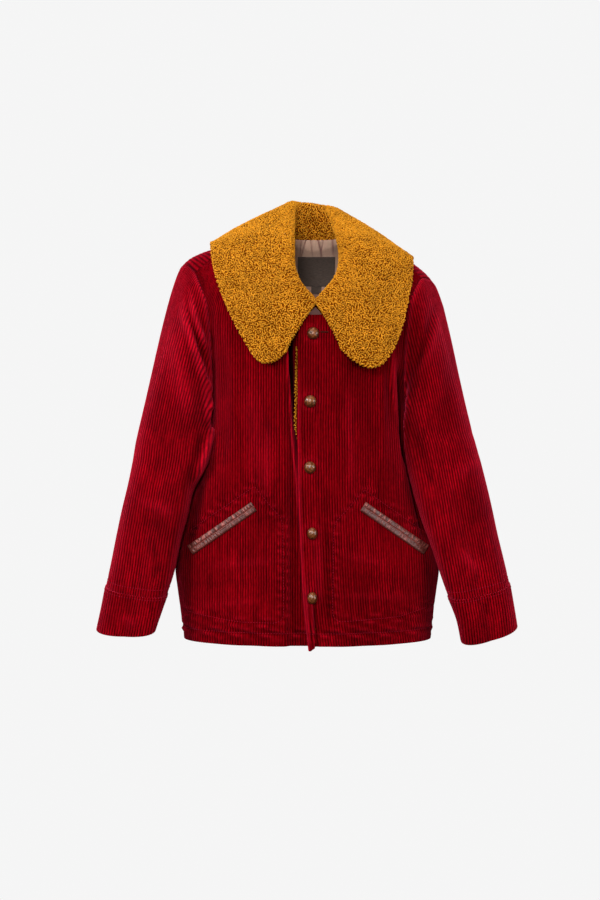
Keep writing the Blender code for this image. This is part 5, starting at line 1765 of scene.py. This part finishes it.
def laid_on(tree, starts, aims):
    """Where lines of sight meet the cloth, smoothed over the wales, and the outward directions."""
    spots, ways = [], []
    for start, aim in zip(starts, aims):
        place = tree.ray_cast(Vector(start), Vector(aim))[0]
        if place is not None:
            spots.append(tuple(place))
            ways.append(tuple(-np.asarray(aim)))
    spots = np.array(spots)
    kernel = np.ones(7) / 7
    padded = np.pad(spots, ((3, 3), (0, 0)), mode="edge")
    ways = np.array(ways)
    evened = np.stack([np.convolve(padded[:, i], kernel, "valid") for i in range(3)], axis=-1)
    return evened + ways * THREAD, ways


def stitch_run(line, ways):
    """Small thread lengths along a line on the cloth."""
    length = line_lengths(line)
    ends = len(STITCH_RISES) - 1
    points, faces = [], []
    for start in np.arange(0.0, length[-1] - STITCH, STITCH + STITCH_GAP):
        at = start + np.linspace(0.0, STITCH, len(STITCH_RISES))
        spine = np.stack([np.interp(at, length, line[:, i]) for i in range(3)], axis=-1)
        up = np.array([np.interp(start, length, ways[:, i]) for i in range(3)])
        along = spine[-1] - spine[0]
        across = unit(np.cross(along, up))
        up = unit(np.cross(across, along))
        base = len(points)
        for spot, rise, wide in zip(spine, STITCH_RISES, STITCH_WIDTHS):
            for swing in np.linspace(0, 2 * math.pi, THREAD_SIDES, endpoint=False):
                ring = across * math.cos(swing) + up * (math.sin(swing) + rise)
                points.append(spot + ring * THREAD * wide)
        for ring in range(ends):
            low = base + ring * THREAD_SIDES
            high = low + THREAD_SIDES
            for corner in range(THREAD_SIDES):
                after = (corner + 1) % THREAD_SIDES
                faces.append([low + corner, high + corner, high + after, low + after])
        last = base + ends * THREAD_SIDES
        faces.append([base + corner for corner in range(THREAD_SIDES)])
        faces.append([last + corner for corner in range(THREAD_SIDES)][::-1])
    return points, faces


def thread_material(name, colour):
    """Matt twisted thread."""
    material, tree, shader = new_material(name, Roughness=0.7, Specular_IOR_Level=0.05, Sheen_Weight=0.0)
    twist = remap(tree, noise_at(tree, 900.0, 2.0), 0.7, 1.3)
    tree.links.new(scale_colour(tree, colour, twist), shader.inputs["Base Color"])
    bump(tree, shader, noise_at(tree, 2500.0, 1.0), 0.4, 0.0002)
    return material


def stitched_piece(name, runs, material):
    """Rows of stitches that ride with the cloth they are sewn on."""
    points, faces = [], []
    for line, ways in runs:
        more, more_faces = stitch_run(line, ways)
        base = len(points)
        points += more
        faces += [[base + corner for corner in face] for face in more_faces]
    piece = mesh_object(name, points, faces, [material], sharp=180)
    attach(piece, "root")


def fine_path(path, step=0.0010):
    """Close points along a sewn line."""
    length = line_lengths(path)
    at = np.arange(0.0, length[-1], step)
    return np.stack([np.interp(at, length, path[:, i]) for i in range(2)], axis=-1)


thread = thread_material("tonal_thread", THREAD_RED)
body_tree = surface_tree([front_left, front_right, back])
runs = []
for bag in (POCKET_BAG_RIGHT, POCKET_BAG_LEFT):
    path = fine_path(sewn_path(bag))
    starts = np.stack([path[:, 0], np.full(len(path), SIGHT_Y), path[:, 1]], axis=-1)
    runs.append(laid_on(body_tree, starts, np.tile([[0.0, 1.0, 0.0]], (len(path), 1))))
around = np.linspace(0, 2 * math.pi, 1100)
out = np.stack([np.sin(around), -np.cos(around), np.zeros(len(around))], axis=-1)
ring = np.array([0.0, RIDGE_Y, HEM + HEM_STITCH])
runs.append(laid_on(body_tree, ring + out * 0.5, -out))
stitched_piece("body_stitches", runs, thread)
runs = []
for side, name, rows in ((1, "left", SLEEVE_LEFT), (-1, "right", SLEEVE_RIGHT)):
    pieces = [bpy.data.objects[part + "_" + name + "_cloth"] for part in ("sleeve", "cuff")]
    arm_tree = surface_tree(pieces)
    for height in (CUFF_SEAM + CUFF_STITCH_ABOVE, CUFF_SEAM - CUFF_STITCH_BELOW):
        ring = arm_ring(side, rows, height, np.linspace(0, 1, 320))
        out = ring - ring.mean(axis=0)
        out[:, 2] = 0.0
        out = unit(out)
        runs.append(laid_on(arm_tree, ring + out * 0.012, -out))
stitched_piece("cuff_stitches", runs, thread)
runs = []
(hole_start, hole_end), hole_z, hole_height = BUTTONHOLE
for x in np.arange(hole_start, hole_end, THREAD * 1.7):
    z = np.linspace(hole_z - hole_height / 2, hole_z + hole_height / 2, 19)
    starts = np.stack([np.full(len(z), x), np.full(len(z), SIGHT_Y), z], axis=-1)
    runs.append(laid_on(body_tree, starts, np.tile([[0.0, 1.0, 0.0]], (len(z), 1))))
brown_thread = thread_material("brown_thread", THREAD_BROWN)
stitched_piece("buttonhole", runs, brown_thread)

# Stage: a pale floor and backdrop of one tone, large soft lights from the viewer's left, above and behind,
# and a level camera at chest height in front of the coat.
BACKDROP = 0.915


def pale_material(name):
    """One flat pale tone."""
    material = bpy.data.materials.new(name)
    material.use_nodes = True
    tree = material.node_tree
    tree.nodes.remove(tree.nodes["Principled BSDF"])
    glow = add_node(tree, "ShaderNodeEmission", Color=(BACKDROP, BACKDROP, BACKDROP, 1), Strength=1.0)
    tree.links.new(glow.outputs["Emission"], tree.nodes["Material Output"].inputs["Surface"])
    return material


FLOOR_Z = -1.15
FLOOR_HALF = 12.0
floor_points = [(x, y, FLOOR_Z) for x, y in ((-1, -1), (1, -1), (1, 1), (-1, 1))]
floor_points = [(x * FLOOR_HALF, y * FLOOR_HALF, z) for x, y, z in floor_points]
floor = mesh_object("floor", floor_points, [[0, 1, 2, 3]], [pale_material("pale_floor")])
floor.visible_diffuse = False
floor.visible_glossy = False

world = bpy.data.worlds.new("studio")
bpy.context.scene.world = world
world.use_nodes = True
world.node_tree.nodes["Background"].inputs["Color"].default_value = (BACKDROP, BACKDROP, BACKDROP, 1)
world.cycles_visibility.diffuse = False
world.cycles_visibility.glossy = False

Lamp = namedtuple("Lamp", "name place aim size watts")
LAMPS = (
    Lamp("key", (-2.5, -1.6, 1.0), (0.0, 0.0, -0.30), 1.0, 76),
    Lamp("fill", (2.5, -1.7, 0.1), (0.0, 0.0, -0.30), 1.3, 48),
    Lamp("front", (-0.3, -3.0, 0.45), (0.0, 0.0, -0.20), 0.9, 60),
    Lamp("top", (-0.2, -0.4, 1.9), (0.0, 0.0, -0.20), 1.6, 20),
    Lamp("back_left", (-1.9, 1.6, 0.6), (0.0, 0.0, -0.30), 1.5, 44),
    Lamp("back_right", (1.9, 1.8, 0.5), (0.0, 0.0, -0.30), 1.5, 40),
)
for lamp in LAMPS:
    light = bpy.data.lights.new(lamp.name, "AREA")
    light.size = lamp.size
    light.energy = lamp.watts
    holder = bpy.data.objects.new(lamp.name, light)
    holder.location = lamp.place
    holder.rotation_euler = (Vector(lamp.aim) - Vector(lamp.place)).to_track_quat("-Z", "Y").to_euler()
    bpy.context.scene.collection.objects.link(holder)

CAMERA_DISTANCE = 2.4
CAMERA_X = -0.0128
CAMERA_Z = -0.3424
camera = bpy.data.cameras.new("photo_camera")
camera.sensor_fit = "VERTICAL"
camera.sensor_height = 36.0
camera.lens = 60.0
viewer = bpy.data.objects.new("photo_camera", camera)
viewer.location = (CAMERA_X, -CAMERA_DISTANCE, CAMERA_Z)
viewer.rotation_euler = (math.pi / 2, 0.0, 0.0)
bpy.context.scene.collection.objects.link(viewer)
bpy.context.scene.camera = viewer
bpy.context.scene.view_settings.view_transform = "Standard"
